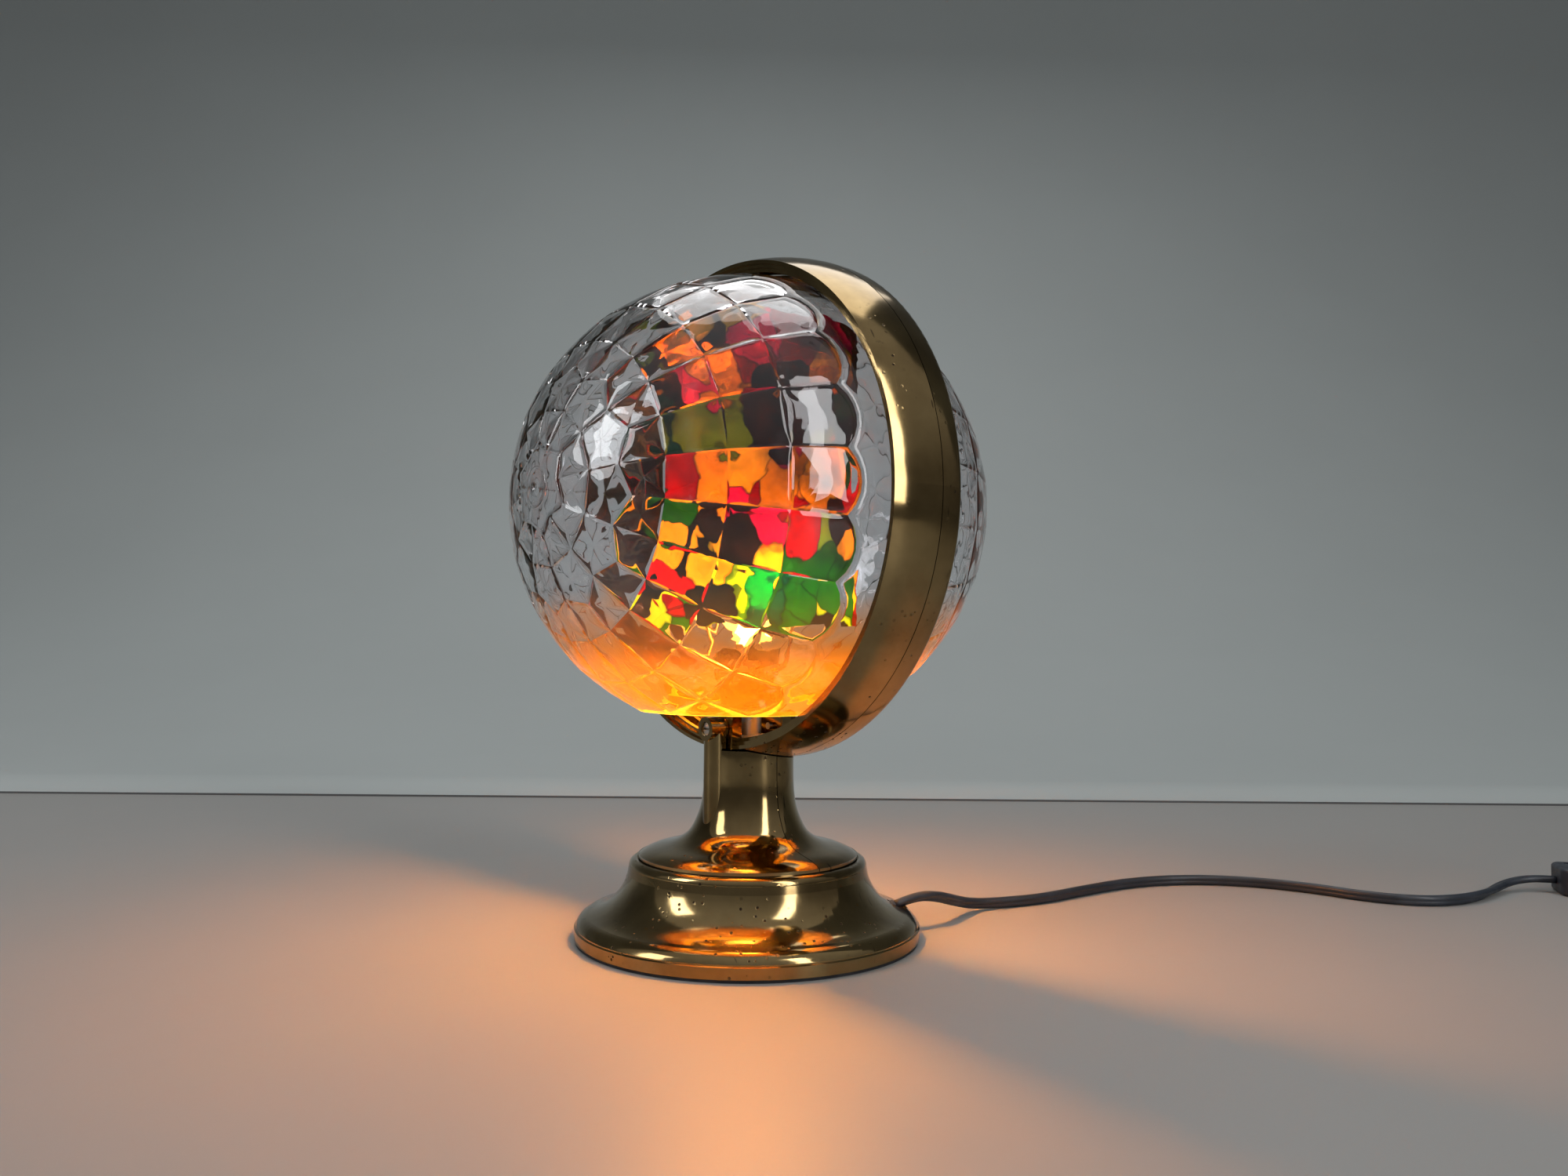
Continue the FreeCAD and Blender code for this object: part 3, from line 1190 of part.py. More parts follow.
def plug_pins():
    """Two round pins set in the plug's face."""
    pins = []
    for side in (-1, 1):
        start = V(PLUG_LONG - PLUG_PIN_INSET, side * PLUG_PIN_PITCH / 2, 0)
        pin = Part.makeCylinder(PLUG_PIN_R, PLUG_PIN_INSET + PIN_LONG - PLUG_PIN_R, start, V(1, 0, 0))
        end = V(PLUG_LONG + PIN_LONG - PLUG_PIN_R, side * PLUG_PIN_PITCH / 2, 0)
        pins.append(pin.fuse(Part.makeSphere(PLUG_PIN_R, end)))
    return Part.makeCompound(pins)


# Build and export

def report_tube(name, points, shape):
    """Print a cord stretch's radii and check its volume against section times length."""
    wire, radii = bend_path(points)
    expected = math.pi * CORD_R ** 2 * wire.Length
    print(name, "length", round(wire.Length, 1), "radii", [round(r, 1) for r in radii],
          "volume ratio", round(shape.Volume / expected, 4))


def build():
    """All nodes by name."""
    nodes = {}
    nodes["base_shell"] = base_shell()
    nodes["foot_ring"] = foot_ring()
    nodes["base_plate"] = base_plate()
    nodes["base_weight"] = base_weight()
    nodes["base_screws"] = base_screws()
    nodes["flange_screws"] = flange_screws()
    nodes["cord_clamp"] = cord_clamp()
    nodes["clamp_screws"] = clamp_screws()
    whole = stem_whole()
    nodes["stem_front_half"] = stem_half(whole, -1)
    nodes["stem_back_half"] = stem_half(whole, 1)
    nodes["ear_screws"] = ear_screws()
    nodes["ring_front"] = ring_front()
    nodes["ring_back"] = ring_back()
    nodes["globe_front"] = half_globe(FRONT_CENTRE_T, FRONT_SKIRT_T)
    nodes["globe_back"] = turned(half_globe(BACK_CENTRE_T, BACK_SKIRT_T), 180)
    nodes["lamp_pipe"] = pipe(PIPE_BORE_R, PIPE_R, PIPE_BOTTOM_Z, PIPE_TOP_Z)
    nodes["pipe_nut_upper"] = hexagon_nut(PAD_Z, PAD_Z + NUT_THICK)
    nodes["pipe_nut_lower"] = hexagon_nut(STEM_CAVITY_TOP_Z - NUT_THICK, STEM_CAVITY_TOP_Z)
    nodes["lampholder_base"] = lampholder_base()
    nodes["lampholder_shell"] = lampholder_shell()
    nodes["socket_seat"] = socket_seat()
    nodes["socket_sleeve"] = socket_sleeve()
    nodes["socket_contact"] = socket_contact()
    nodes["bulb_cap"] = bulb_cap()
    nodes["bulb_glass"] = bulb_glass()
    nodes["bulb_filament"] = filament()
    nodes["needle_frame"] = needle_frame()
    nodes["pivot_needle"] = pivot_needle(nodes["needle_frame"])
    nodes["colour_film"] = colour_film()
    nodes["drum_hoop"] = drum_hoop()
    nodes["fan_wheel"] = fan_wheel()
    nodes["pivot_cup"] = pivot_cup()
    nodes["supply_wires"] = supply_wires()
    inside_start = CLAMP_POINT.sub(HOLE_HEADING * (CLAMP_LONG / 2 + 0.5))
    inside_length = HOLE_POINT.sub(inside_start).Length
    nodes["cord_in_base"] = Part.makeCylinder(CORD_R, inside_length, inside_start, HOLE_HEADING)
    nodes["cord_to_switch"] = bent_wire(CORD_ROUTE, CORD_R)
    report_tube("cord_to_switch", CORD_ROUTE, nodes["cord_to_switch"])
    nodes["switch_base"] = switch_base()
    nodes["switch_cover"] = switch_cover()
    nodes["switch_rocker"] = switch_rocker()
    nodes["rocker_pin"] = rocker_pin()
    nodes["switch_screws"] = switch_screws()
    nodes["switch_contacts"] = switch_contacts()
    wire, coil_end, heading = coil_wire()
    nodes["cord_coil"] = tube(wire, CORD_R)
    print("coil length", round(wire.Length, 1), "least gap", round(least_gap(wire, CORD_R), 2),
          "volume ratio", round(nodes["cord_coil"].Volume / (math.pi * CORD_R ** 2 * wire.Length), 4))
    lead = lead_route(coil_point(-CORD_R * 2, COIL_R, CORD_R))
    nodes["cord_to_coil"] = bent_wire(lead, CORD_R)
    report_tube("cord_to_coil", lead, nodes["cord_to_coil"])
    tail = tail_route(coil_end, heading)
    nodes["cord_to_plug"] = bent_wire(tail, CORD_R)
    report_tube("cord_to_plug", tail, nodes["cord_to_plug"])
    nodes["plug_body"] = plug_placed(plug_body(), tail[-1], heading)
    nodes["plug_pins"] = plug_placed(plug_pins(), tail[-1], heading)
    return nodes


def main():
    """Write one file per node."""
    os.makedirs("parts", exist_ok=True)
    for name, shape in build().items():
        shape.exportStep(os.path.join("parts", name + ".step"))
        print(name, "solids", len(shape.Solids), "volume", round(shape.Volume, 1), "valid", shape.isValid())


main()
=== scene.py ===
import math

import bmesh
import bpy
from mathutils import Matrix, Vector


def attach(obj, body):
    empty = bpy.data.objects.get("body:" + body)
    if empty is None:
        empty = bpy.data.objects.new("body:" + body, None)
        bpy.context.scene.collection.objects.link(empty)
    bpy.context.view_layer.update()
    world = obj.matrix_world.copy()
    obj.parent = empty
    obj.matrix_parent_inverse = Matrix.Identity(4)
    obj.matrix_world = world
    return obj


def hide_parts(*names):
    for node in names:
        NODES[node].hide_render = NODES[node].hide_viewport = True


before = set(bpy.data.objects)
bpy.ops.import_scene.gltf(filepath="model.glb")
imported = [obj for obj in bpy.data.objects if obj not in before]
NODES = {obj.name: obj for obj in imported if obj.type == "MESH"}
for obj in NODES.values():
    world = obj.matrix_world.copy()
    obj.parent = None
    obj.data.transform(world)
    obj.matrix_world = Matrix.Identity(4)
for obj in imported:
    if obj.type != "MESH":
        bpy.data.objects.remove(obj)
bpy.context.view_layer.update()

SCENE = bpy.context.scene
SCENE.view_settings.view_transform = "Standard"


# Camera

def add_camera():
    """The photograph's viewpoint and lens, fitted to the globe, the ring and the base's rim."""
    data = bpy.data.cameras.new("camera")
    data.sensor_fit = "HORIZONTAL"
    data.sensor_width = 36.0
    data.lens = 27.036
    data.clip_start = 0.01
    data.clip_end = 30.0
    camera = bpy.data.objects.new("camera", data)
    camera.location = (0.386436, -0.297381, 0.120659)
    camera.rotation_mode = "QUATERNION"
    camera.rotation_quaternion = (0.623525, 0.653768, 0.307164, 0.299089)
    SCENE.collection.objects.link(camera)
    SCENE.camera = camera


add_camera()


# Mesh helpers

def new_object(name, data):
    """Put new data into the scene as an object."""
    obj = bpy.data.objects.new(name, data)
    SCENE.collection.objects.link(obj)
    return obj


def mesh_object(name, verts, faces, smooth=True):
    """Put a mesh of plain points and faces into the scene."""
    mesh = bpy.data.meshes.new(name)
    mesh.from_pydata([tuple(v) for v in verts], [], faces)
    mesh.validate()
    mesh.update()
    for polygon in mesh.polygons:
        polygon.use_smooth = smooth
    return new_object(name, mesh)


# Mains cord: a flat twin cord on smooth routes

CORD_WIDE = 0.0050
CORD_THICK = 0.0033
CORE_OUTLINE_POINTS = 28

ROUTE_TO_SWITCH = (
    (0.0325, 0.0515, 0.0105), (0.0350, 0.0615, 0.0135), (0.0355, 0.0740, 0.0120),
    (0.0320, 0.0890, 0.0075), (0.0285, 0.1040, 0.0035), (0.0320, 0.1190, 0.0025),
    (0.0385, 0.1410, 0.0025), (0.0390, 0.1730, 0.0025), (0.0415, 0.2060, 0.0025),
    (0.0540, 0.2350, 0.0025), (0.0765, 0.2555, 0.0025), (0.1020, 0.2650, 0.0025),
    (0.1280, 0.2670, 0.0025), (0.1475, 0.2770, 0.0025), (0.1570, 0.2930, 0.0025),
    (0.1598, 0.3110, 0.0025), (0.1588, 0.3290, 0.0025), (0.1581, 0.3450, 0.0034),
    (0.1614, 0.3537, 0.0050), (0.167414, 0.360822, 0.0060), (0.1747, 0.3652, 0.0060),
)
SWITCH_TURN = math.radians(31.0)
SWITCH_LONG = 0.062
HEADING = Vector((math.cos(SWITCH_TURN), math.sin(SWITCH_TURN), 0.0))
ACROSS = Vector((-HEADING.y, HEADING.x, 0.0))
SWITCH_NEAR = Vector((0.1747, 0.3652, 0.0))
SWITCH_FAR = SWITCH_NEAR + HEADING * SWITCH_LONG
EXIT_Z = 0.0060
LEAD_LONG = 0.045
COIL_MID = SWITCH_FAR + HEADING * 0.050 - ACROSS * 0.038
COIL_RADII = (0.038, 0.0352, 0.0324, 0.0296, 0.0268, 0.0240)
COIL_CLIMB = 0.0212
COIL_PIECES = 8
COIL_PLAY = 0.00003
LAYER_LOW = 0.0017
LAYER_HIGH = 0.0052
PLUG_Z = 0.0069
LEAD = ((0.0, EXIT_Z), (0.22, EXIT_Z), (0.52, 0.0038), (0.80, LAYER_LOW))
TAIL = ((0.006, LAYER_HIGH), (0.018, LAYER_HIGH + 0.0004), (0.030, PLUG_Z), (0.039, PLUG_Z))
EDGE_TURNS = ((0.0, 35.0), (0.10, 60.0), (0.22, 84.0), (0.80, 86.0), (0.93, 8.0), (1.0, 0.0))


def nurbs_path(name, points, resolution=8):
    """Points along a smooth route through its control points."""
    data = bpy.data.curves.new(name, "CURVE")
    data.dimensions = "3D"
    data.resolution_u = resolution
    spline = data.splines.new("NURBS")
    spline.points.add(len(points) - 1)
    for slot, point in zip(spline.points, points):
        slot.co = (point[0], point[1], point[2], 1.0)
    spline.order_u = 3
    spline.use_endpoint_u = True
    holder = new_object(name, data)
    mesh = bpy.data.meshes.new_from_object(holder)
    places = [v.co.copy() for v in mesh.vertices]
    bpy.data.meshes.remove(mesh)
    bpy.data.objects.remove(holder)
    return places


def twin_profile():
    """Outline of two touching cores in one sheath, wide along the first axis."""
    radius = CORD_THICK / 2
    offset = (CORD_WIDE - CORD_THICK) / 2
    outline = []
    for k in range(CORE_OUTLINE_POINTS):
        a = 2 * math.pi * k / CORE_OUTLINE_POINTS
        ca, sa = math.cos(a), math.sin(a)
        side = 1.0 if ca >= 0 else -1.0
        along = side * offset * ca
        reach = along + math.sqrt(max(radius ** 2 - (offset * sa) ** 2, 0.0))
        outline.append((reach * ca, reach * sa))
    return outline


def swept(name, path, outline, twist):
    """Closed tube of an outline along a path, turned about it by twist(share of the length)."""
    verts, faces = [], []
    steps = [0.0]
    for a, b in zip(path, path[1:]):
        steps.append(steps[-1] + (b - a).length)
    total = steps[-1]
    count = len(outline)
    for i, point in enumerate(path):
        ahead = path[min(i + 1, len(path) - 1)]
        behind = path[max(i - 1, 0)]
        tangent = (ahead - behind).normalized()
        side = tangent.cross(Vector((0, 0, 1))).normalized()
        up = side.cross(tangent)
        turn = twist(steps[i] / total)
        wide = side * math.cos(turn) + up * math.sin(turn)
        thin = up * math.cos(turn) - side * math.sin(turn)
        for x, y in outline:
            verts.append(point + wide * x + thin * y)
    for i in range(len(path) - 1):
        for k in range(count):
            after = (k + 1) % count
            near, far = i * count, (i + 1) * count
            faces.append((near + k, near + after, far + after, far + k))
    faces.append(tuple(reversed(range(count))))
    last = (len(path) - 1) * count
    faces.append(tuple(range(last, last + count)))
    return mesh_object(name, verts, faces)


def eased(share):
    """A share from 0 to 1 that starts and ends softly."""
    return share * share * (3 - 2 * share)


def ramp(value, stops):
    """Eased value between (position, level) stops."""
    for (x0, y0), (x1, y1) in zip(stops, stops[1:]):
        if value <= x1:
            share = eased(min(max((value - x0) / (x1 - x0), 0.0), 1.0))
            return y0 + (y1 - y0) * share
    return stops[-1][1]


def edge_twist(share):
    """The cord stands on edge for most of its way and lies flat into the switch."""
    return math.radians(ramp(share, EDGE_TURNS))


def flat(_share):
    """The coil's turns lie flat all the way."""
    return 0.0


def coil_route():
    """Lead, spiral in on the table, climb, spiral out on top, and tail to the plug."""
    route = []
    for share, z in LEAD:
        place = SWITCH_FAR + HEADING * (LEAD_LONG * share)
        route.append((place.x, place.y, z))
    start = SWITCH_FAR + HEADING * (LEAD_LONG + 0.001)
    route.append((start.x, start.y, LAYER_LOW))
    half_step = math.pi / COIL_PIECES / 2
    plan = [(r, LAYER_LOW, LAYER_LOW) for r in COIL_RADII]
    plan.append((COIL_CLIMB, LAYER_LOW, LAYER_HIGH))
    plan += [(r, LAYER_HIGH, LAYER_HIGH) for r in reversed(COIL_RADII)]
    place = COIL_RADII[0]
    ahead = 1.0
    for radius, z_from, z_to in plan:
        middle = place - ahead * radius
        reach = radius / math.cos(half_step) - COIL_PLAY
        for k in range(COIL_PIECES):
            angle = math.pi * (k + 0.5) / COIL_PIECES
            forward = ahead * reach * math.sin(angle)
            side = middle + ahead * reach * math.cos(angle)
            point = COIL_MID + HEADING * forward + ACROSS * side
            share = eased((k + 0.5) / COIL_PIECES)
            route.append((point.x, point.y, z_from + (z_to - z_from) * share))
        place = middle - ahead * radius
        ahead = -ahead
    end = COIL_MID + ACROSS * place
    tail = -HEADING
    for distance, z in TAIL:
        point = end + tail * distance
        route.append((point.x, point.y, z))
    return route


PATH_TO_SWITCH = nurbs_path("route_to_switch", ROUTE_TO_SWITCH, 10)
PATH_TO_PLUG = nurbs_path("route_to_plug", coil_route(), 5)
CORD_TO_SWITCH = swept("mains_cord", PATH_TO_SWITCH, twin_profile(), edge_twist)
CORD_TO_PLUG = swept("mains_cord_coil", PATH_TO_PLUG, twin_profile(), flat)


# Materials

CUT_Z = 0.0915
# Height of the band at the cut edge that gets a painted glow.
PAINTED_GLOW_EDGE_BAND = 0.0002
HAZE_Z = 0.088
HAZE_RISE = 16.0
FILM_R = 0.04372
FILM_LOW = 0.126
FILM_HIGH = 0.246
FILM_THICK = 0.0003
PATCHES = 58.0
PATCH_WARP = 0.026


class Shader:
    """A node material with one main surface shader and short helpers for its inputs."""

    def __init__(self, name):
        self.material = bpy.data.materials.new(name)
        self.material.use_nodes = True
        self.tree = self.material.node_tree
        self.tree.nodes.clear()
        self.out = self.add("ShaderNodeOutputMaterial")
        self.surface = self.add("ShaderNodeBsdfPrincipled")
        self.link(self.surface.outputs[0], self.out.inputs[0])
        self.place = self.add("ShaderNodeTexCoord").outputs["Object"]

    def add(self, kind, **settings):
        """New node with its settings."""
        node = self.tree.nodes.new(kind)
        for key, value in settings.items():
            setattr(node, key, value)
        return node

    def link(self, source, target):
        """Join an output to an input."""
        self.tree.links.new(source, target)

    def set(self, **values):
        """Constant values on the surface shader's own sockets, named with _ for a space."""
        for key, value in values.items():
            self.surface.inputs[key.replace("_", " ")].default_value = value

    def scaled(self, scale, turn):
        """The object's space, stretched and turned."""
        node = self.add("ShaderNodeMapping")
        node.inputs["Scale"].default_value = scale
        node.inputs["Rotation"].default_value = turn
        self.link(self.place, node.inputs["Vector"])
        return node.outputs[0]

    def noise(self, scale, detail=4.0, rough=0.5, vector=None, output="Fac"):
        """Cloudy noise in the object's own space."""
        node = self.add("ShaderNodeTexNoise")
        node.inputs["Scale"].default_value = scale
        node.inputs["Detail"].default_value = detail
        node.inputs["Roughness"].default_value = rough
        self.link(vector or self.place, node.inputs["Vector"])
        return node.outputs[output]

    def cells(self, scale, feature="F1", output="Distance", vector=None):
        """Voronoi cells in the object's own space."""
        node = self.add("ShaderNodeTexVoronoi", feature=feature)
        node.inputs["Scale"].default_value = scale
        self.link(vector or self.place, node.inputs["Vector"])
        return node.outputs[output]

    def height(self):
        """Height above the table, in metres."""
        node = self.add("ShaderNodeSeparateXYZ")
        self.link(self.place, node.inputs[0])
        return node.outputs["Z"]

    def steps(self, source, stops, mode="LINEAR"):
        """Colour ramp through (position, level or colour) stops."""
        node = self.add("ShaderNodeValToRGB")
        node.color_ramp.interpolation = mode
        elements = node.color_ramp.elements
        while len(elements) < len(stops):
            elements.new(0.5)
        for element, (position, colour) in zip(elements, stops):
            element.position = position
            if isinstance(colour, (int, float)):
                colour = (colour, colour, colour)
            element.color = (colour[0], colour[1], colour[2], 1.0)
        self.link(source, node.inputs[0])
        return node.outputs[0]

    def math(self, operation, a, b):
        """One sum with numbers or linked values."""
        node = self.add("ShaderNodeMath", operation=operation)
        for socket, value in zip(node.inputs, (a, b)):
            if isinstance(value, (int, float)):
                socket.default_value = value
            else:
                self.link(value, socket)
        return node.outputs[0]

    def multiply(self, a, b):
        """Product of two colours."""
        node = self.add("ShaderNodeMix", data_type="RGBA", blend_type="MULTIPLY")
        node.inputs[0].default_value = 1.0
        self.link(a, node.inputs[6])
        self.link(b, node.inputs[7])
        return node.outputs[2]

    def mix(self, factor, a, b):
        """Shader between a and b, by a number or a linked factor."""
        node = self.add("ShaderNodeMixShader")
        if isinstance(factor, float):
            node.inputs[0].default_value = factor
        else:
            self.link(factor, node.inputs[0])
        self.link(a, node.inputs[1])
        self.link(b, node.inputs[2])
        return node.outputs[0]

    def blend(self, factor, a, b):
        """Colour between a and b."""
        node = self.add("ShaderNodeMix", data_type="RGBA")
        self.link(factor, node.inputs[0])
        for socket, value in ((node.inputs[6], a), (node.inputs[7], b)):
            if isinstance(value, tuple):
                socket.default_value = (value[0], value[1], value[2], 1.0)
            else:
                self.link(value, socket)
        return node.outputs[2]

    def bump(self, height, strength, distance, under=None):
        """Bumped normal, on top of another where one is given."""
        node = self.add("ShaderNodeBump")
        node.inputs["Strength"].default_value = strength
        node.inputs["Distance"].default_value = distance
        self.link(height, node.inputs["Height"])
        if under is not None:
            self.link(under, node.inputs["Normal"])
        return node.outputs[0]

    def color(self, source):
        self.link(source, self.surface.inputs["Base Color"])

    def roughness(self, source):
        self.link(source, self.surface.inputs["Roughness"])

    def normal(self, source):
        self.link(source, self.surface.inputs["Normal"])


def gilt_material():
    """Aged gilt plating: dark warm gold, glossy, with patina, pits, specks and fine scratches."""
    s = Shader("gilt")
    s.set(Metallic=1.0)
    tone = s.noise(26.0, 5.0, 0.6)
    patina = s.steps(tone, ((0.30, (0.170, 0.112, 0.046)), (0.52, (0.29, 0.200, 0.088)),
                            (0.75, (0.40, 0.285, 0.130))))
    fleck = s.steps(s.cells(300.0), ((0.0, 1.0), (0.15, 1.0), (0.21, 0.0)))
    some = s.steps(s.noise(30.0, 2.0), ((0.52, 0.0), (0.60, 1.0)))
    specks = s.math("MULTIPLY", fleck, some)
    scratch = s.noise(1.0, 2.0, 0.5, s.scaled((38.0, 260.0, 38.0), (0.5, 0.9, 0.3)))
    marks = s.math("MULTIPLY", s.steps(scratch, ((0.705, 0.0), (0.72, 1.0))), 0.7)
    s.color(s.blend(s.math("MAXIMUM", specks, marks), patina, (0.045, 0.03, 0.018)))
    smear = s.noise(9.0, 6.0, 0.65)
    base = s.steps(smear, ((0.32, 0.07), (0.62, 0.13), (0.8, 0.21)))
    s.roughness(s.math("MAXIMUM", base, s.math("MULTIPLY", specks, 0.7)))
    ripple = s.bump(s.noise(60.0, 2.0, 0.4), 0.045, 0.003)
    pits = s.bump(s.math("SUBTRACT", 1.0, specks), 0.25, 0.0002, ripple)
    hair = s.noise(1.0, 3.0, 0.6, s.scaled((60.0, 900.0, 60.0), (0.3, 0.2, 0.5)))
    s.normal(s.bump(s.steps(hair, ((0.68, 0.0), (0.71, 1.0))), 0.06, 0.0001, pits))
    return s.material


def plain_metal(name, colour, rough, scale=400.0):
    """Bare metal with a cloudy tone and fine grain."""
    s = Shader(name)
    s.set(Metallic=1.0)
    dark = tuple(c * 0.72 for c in colour)
    s.color(s.steps(s.noise(scale / 8, 5.0, 0.6), ((0.3, dark), (0.7, colour))))
    s.roughness(s.steps(s.noise(scale, 3.0), ((0.3, rough * 0.75), (0.7, rough * 1.25))))
    s.normal(s.bump(s.noise(scale * 3, 2.0), 0.08, 0.0002))
    return s.material


def moulded(name, colour, rough, gloss=0.5):
    """Moulded plastic, rubber or glaze with handling marks, dust and a fine texture."""
    s = Shader(name)
    dark = tuple(c * 0.7 for c in colour)
    dust = tuple(min(c * 1.5 + 0.02, 1.0) for c in colour)
    body = s.steps(s.noise(45.0, 6.0, 0.6), ((0.30, dark), (0.55, colour), (0.80, dust)))
    s.color(body)
    s.roughness(s.steps(s.noise(160.0, 4.0), ((0.3, rough * 0.8), (0.7, min(rough * 1.25, 1.0)))))
    s.set(Specular_IOR_Level=gloss)
    waves = s.bump(s.noise(140.0, 2.0), 0.05, 0.0008)
    s.normal(s.bump(s.noise(1600.0, 2.0), 0.12, 0.0001, waves))
    return s.material


def lamp_through(s, surface):
    """Let the lamps' shadow rays through a clear surface."""
    through = s.add("ShaderNodeBsdfTransparent")
    through.inputs["Color"].default_value = (0.96, 0.96, 0.96, 1.0)
    rays = s.add("ShaderNodeLightPath")
    s.link(s.mix(rays.outputs["Is Shadow Ray"], surface, through.outputs[0]), s.out.inputs[0])


def globe_material():
    """Clear moulded plastic with scuffs, misted low down, tinted amber there partly as aged plastic
    and partly as painted bulb light, with a painted glow low down and a painted glow on its cut
    edge.
    """
    s = Shader("clear_plastic")
    s.set(Transmission_Weight=1.0, IOR=1.49)
    s.roughness(s.steps(s.noise(90.0, 6.0, 0.7), ((0.45, 0.01), (0.8, 0.06))))
    s.normal(s.bump(s.noise(70.0, 2.0, 0.5), 0.10, 0.002))
    z = s.height()
    milk = s.add("ShaderNodeBsdfTranslucent")
    milk.inputs["Color"].default_value = (1.0, 0.62, 0.06, 1.0)
    scuff = s.steps(s.noise(160.0, 8.0, 0.75), ((0.45, 0.0), (0.75, 0.012)))
    wander = s.math("MULTIPLY", s.math("SUBTRACT", s.noise(30.0, 3.0), 0.5), 0.012)
    wave = s.math("ADD", z, wander)
    low = s.steps(s.math("MULTIPLY", s.math("SUBTRACT", wave, HAZE_Z), HAZE_RISE),
                  ((0.0, 0.042), (0.40, 0.034), (0.66, 0.012), (0.82, 0.0)))
    # Low down the colour turns amber, partly an aged tint and partly painted bulb light, and a
    # painted glow is added as emission.
    amber_tint_and_painted_glow = s.math("MINIMUM", s.math("MULTIPLY", low, 26.0), 1.0)
    s.color(s.blend(amber_tint_and_painted_glow, (0.97, 0.965, 0.985), (1.0, 0.56, 0.14)))
    glow = s.blend(amber_tint_and_painted_glow, (0.0, 0.0, 0.0), (0.045, 0.010, 0.0003))
    # The cut edge gets a bright painted glow as emission.
    edge = s.math("LESS_THAN", z, CUT_Z + PAINTED_GLOW_EDGE_BAND)
    s.link(s.blend(edge, glow, (1.0, 0.48, 0.03)), s.surface.inputs["Emission Color"])
    s.set(Emission_Strength=2.0)
    lamp_through(s, s.mix(s.math("ADD", scuff, low), s.surface.outputs[0], milk.outputs[0]))
    return s.material


def bulb_material():
    """Faintly frosted warm glass that glows."""
    s = Shader("bulb_glass")
    s.set(Transmission_Weight=1.0, IOR=1.45)
    s.surface.inputs["Base Color"].default_value = (1.0, 0.90, 0.72, 1.0)
    s.surface.inputs["Emission Color"].default_value = (1.0, 0.50, 0.10, 1.0)
    s.set(Emission_Strength=1.6)
    s.roughness(s.steps(s.noise(60.0, 4.0), ((0.4, 0.10), (0.7, 0.22))))
    lamp_through(s, s.surface.outputs[0])
    return s.material


def film_material():
    """Clear film printed in wavy patches of red, green, amber, teal and plum, with a painted glow
    that is strongest low down near the bulb.
    """
    s = Shader("printed_film")
    shift = s.add("ShaderNodeVectorMath", operation="MULTIPLY_ADD")
    shift.inputs[1].default_value = (PATCH_WARP, PATCH_WARP, PATCH_WARP)
    s.link(s.noise(34.0, 3.0, output="Color"), shift.inputs[0])
    s.link(s.place, shift.inputs[2])
    warped = shift.outputs[0]
    split = s.add("ShaderNodeSeparateColor")
    s.link(s.cells(PATCHES, "F1", "Color", warped), split.inputs[0])
    colours = ((0.0, (0.50, 0.006, 0.012)), (0.12, (0.78, 0.42, 0.015)),
               (0.25, (0.035, 0.17, 0.008)), (0.37, (0.040, 0.016, 0.012)),
               (0.50, (0.85, 0.55, 0.02)), (0.62, (0.008, 0.13, 0.07)),
               (0.67, (0.060, 0.020, 0.016)), (0.79, (0.75, 0.016, 0.18)),
               (0.85, (0.30, 0.40, 0.01)), (0.94, (0.022, 0.018, 0.025)))
    tint = s.steps(split.outputs[0], colours, "CONSTANT")
    edge = s.cells(PATCHES, "DISTANCE_TO_EDGE", "Distance", warped)
    uneven = s.steps(s.noise(40.0, 4.0, 0.6), ((0.32, 0.35), (0.50, 0.85), (0.68, 1.20)))
    line = s.math("MULTIPLY", s.steps(edge, ((0.0, 0.45), (0.04, 1.0))), uneven)
    colour = s.multiply(tint, line)
    # A painted glow on the film, strongest at its lower part near the bulb and fading upward.
    above = s.math("MULTIPLY", s.math("SUBTRACT", s.height(), FILM_LOW), 9.0)
    painted_bulb_glow = s.steps(above, ((0.0, (1.0, 2.2, 0.8)), (0.20, (0.62, 1.0, 0.5)),
                          (0.42, (0.17, 0.17, 0.17)), (0.75, (0.03, 0.03, 0.03))))
    clear = s.add("ShaderNodeBsdfTransparent")
    glow = s.add("ShaderNodeBsdfTranslucent")
    # The film gives off the painted glow as emission.
    s.set(Roughness=0.18, Emission_Strength=8.5)
    s.link(s.multiply(colour, painted_bulb_glow), s.surface.inputs["Emission Color"])
    s.link(colour, clear.inputs[0])
    s.link(colour, glow.inputs[0])
    s.color(colour)
    s.normal(s.bump(s.noise(90.0, 3.0), 0.3, 0.002))
    seen_through = s.mix(0.045, clear.outputs[0], glow.outputs[0])
    s.link(s.mix(0.08, seen_through, s.surface.outputs[0]), s.out.inputs[0])
    return s.material


def glowing(name, colour, strength):
    """A hot part that gives light."""
    s = Shader(name)
    s.surface.inputs["Base Color"].default_value = (colour[0], colour[1], colour[2], 1.0)
    s.surface.inputs["Emission Color"].default_value = (colour[0], colour[1], colour[2], 1.0)
    s.set(Emission_Strength=strength, Roughness=0.4)
    return s.material


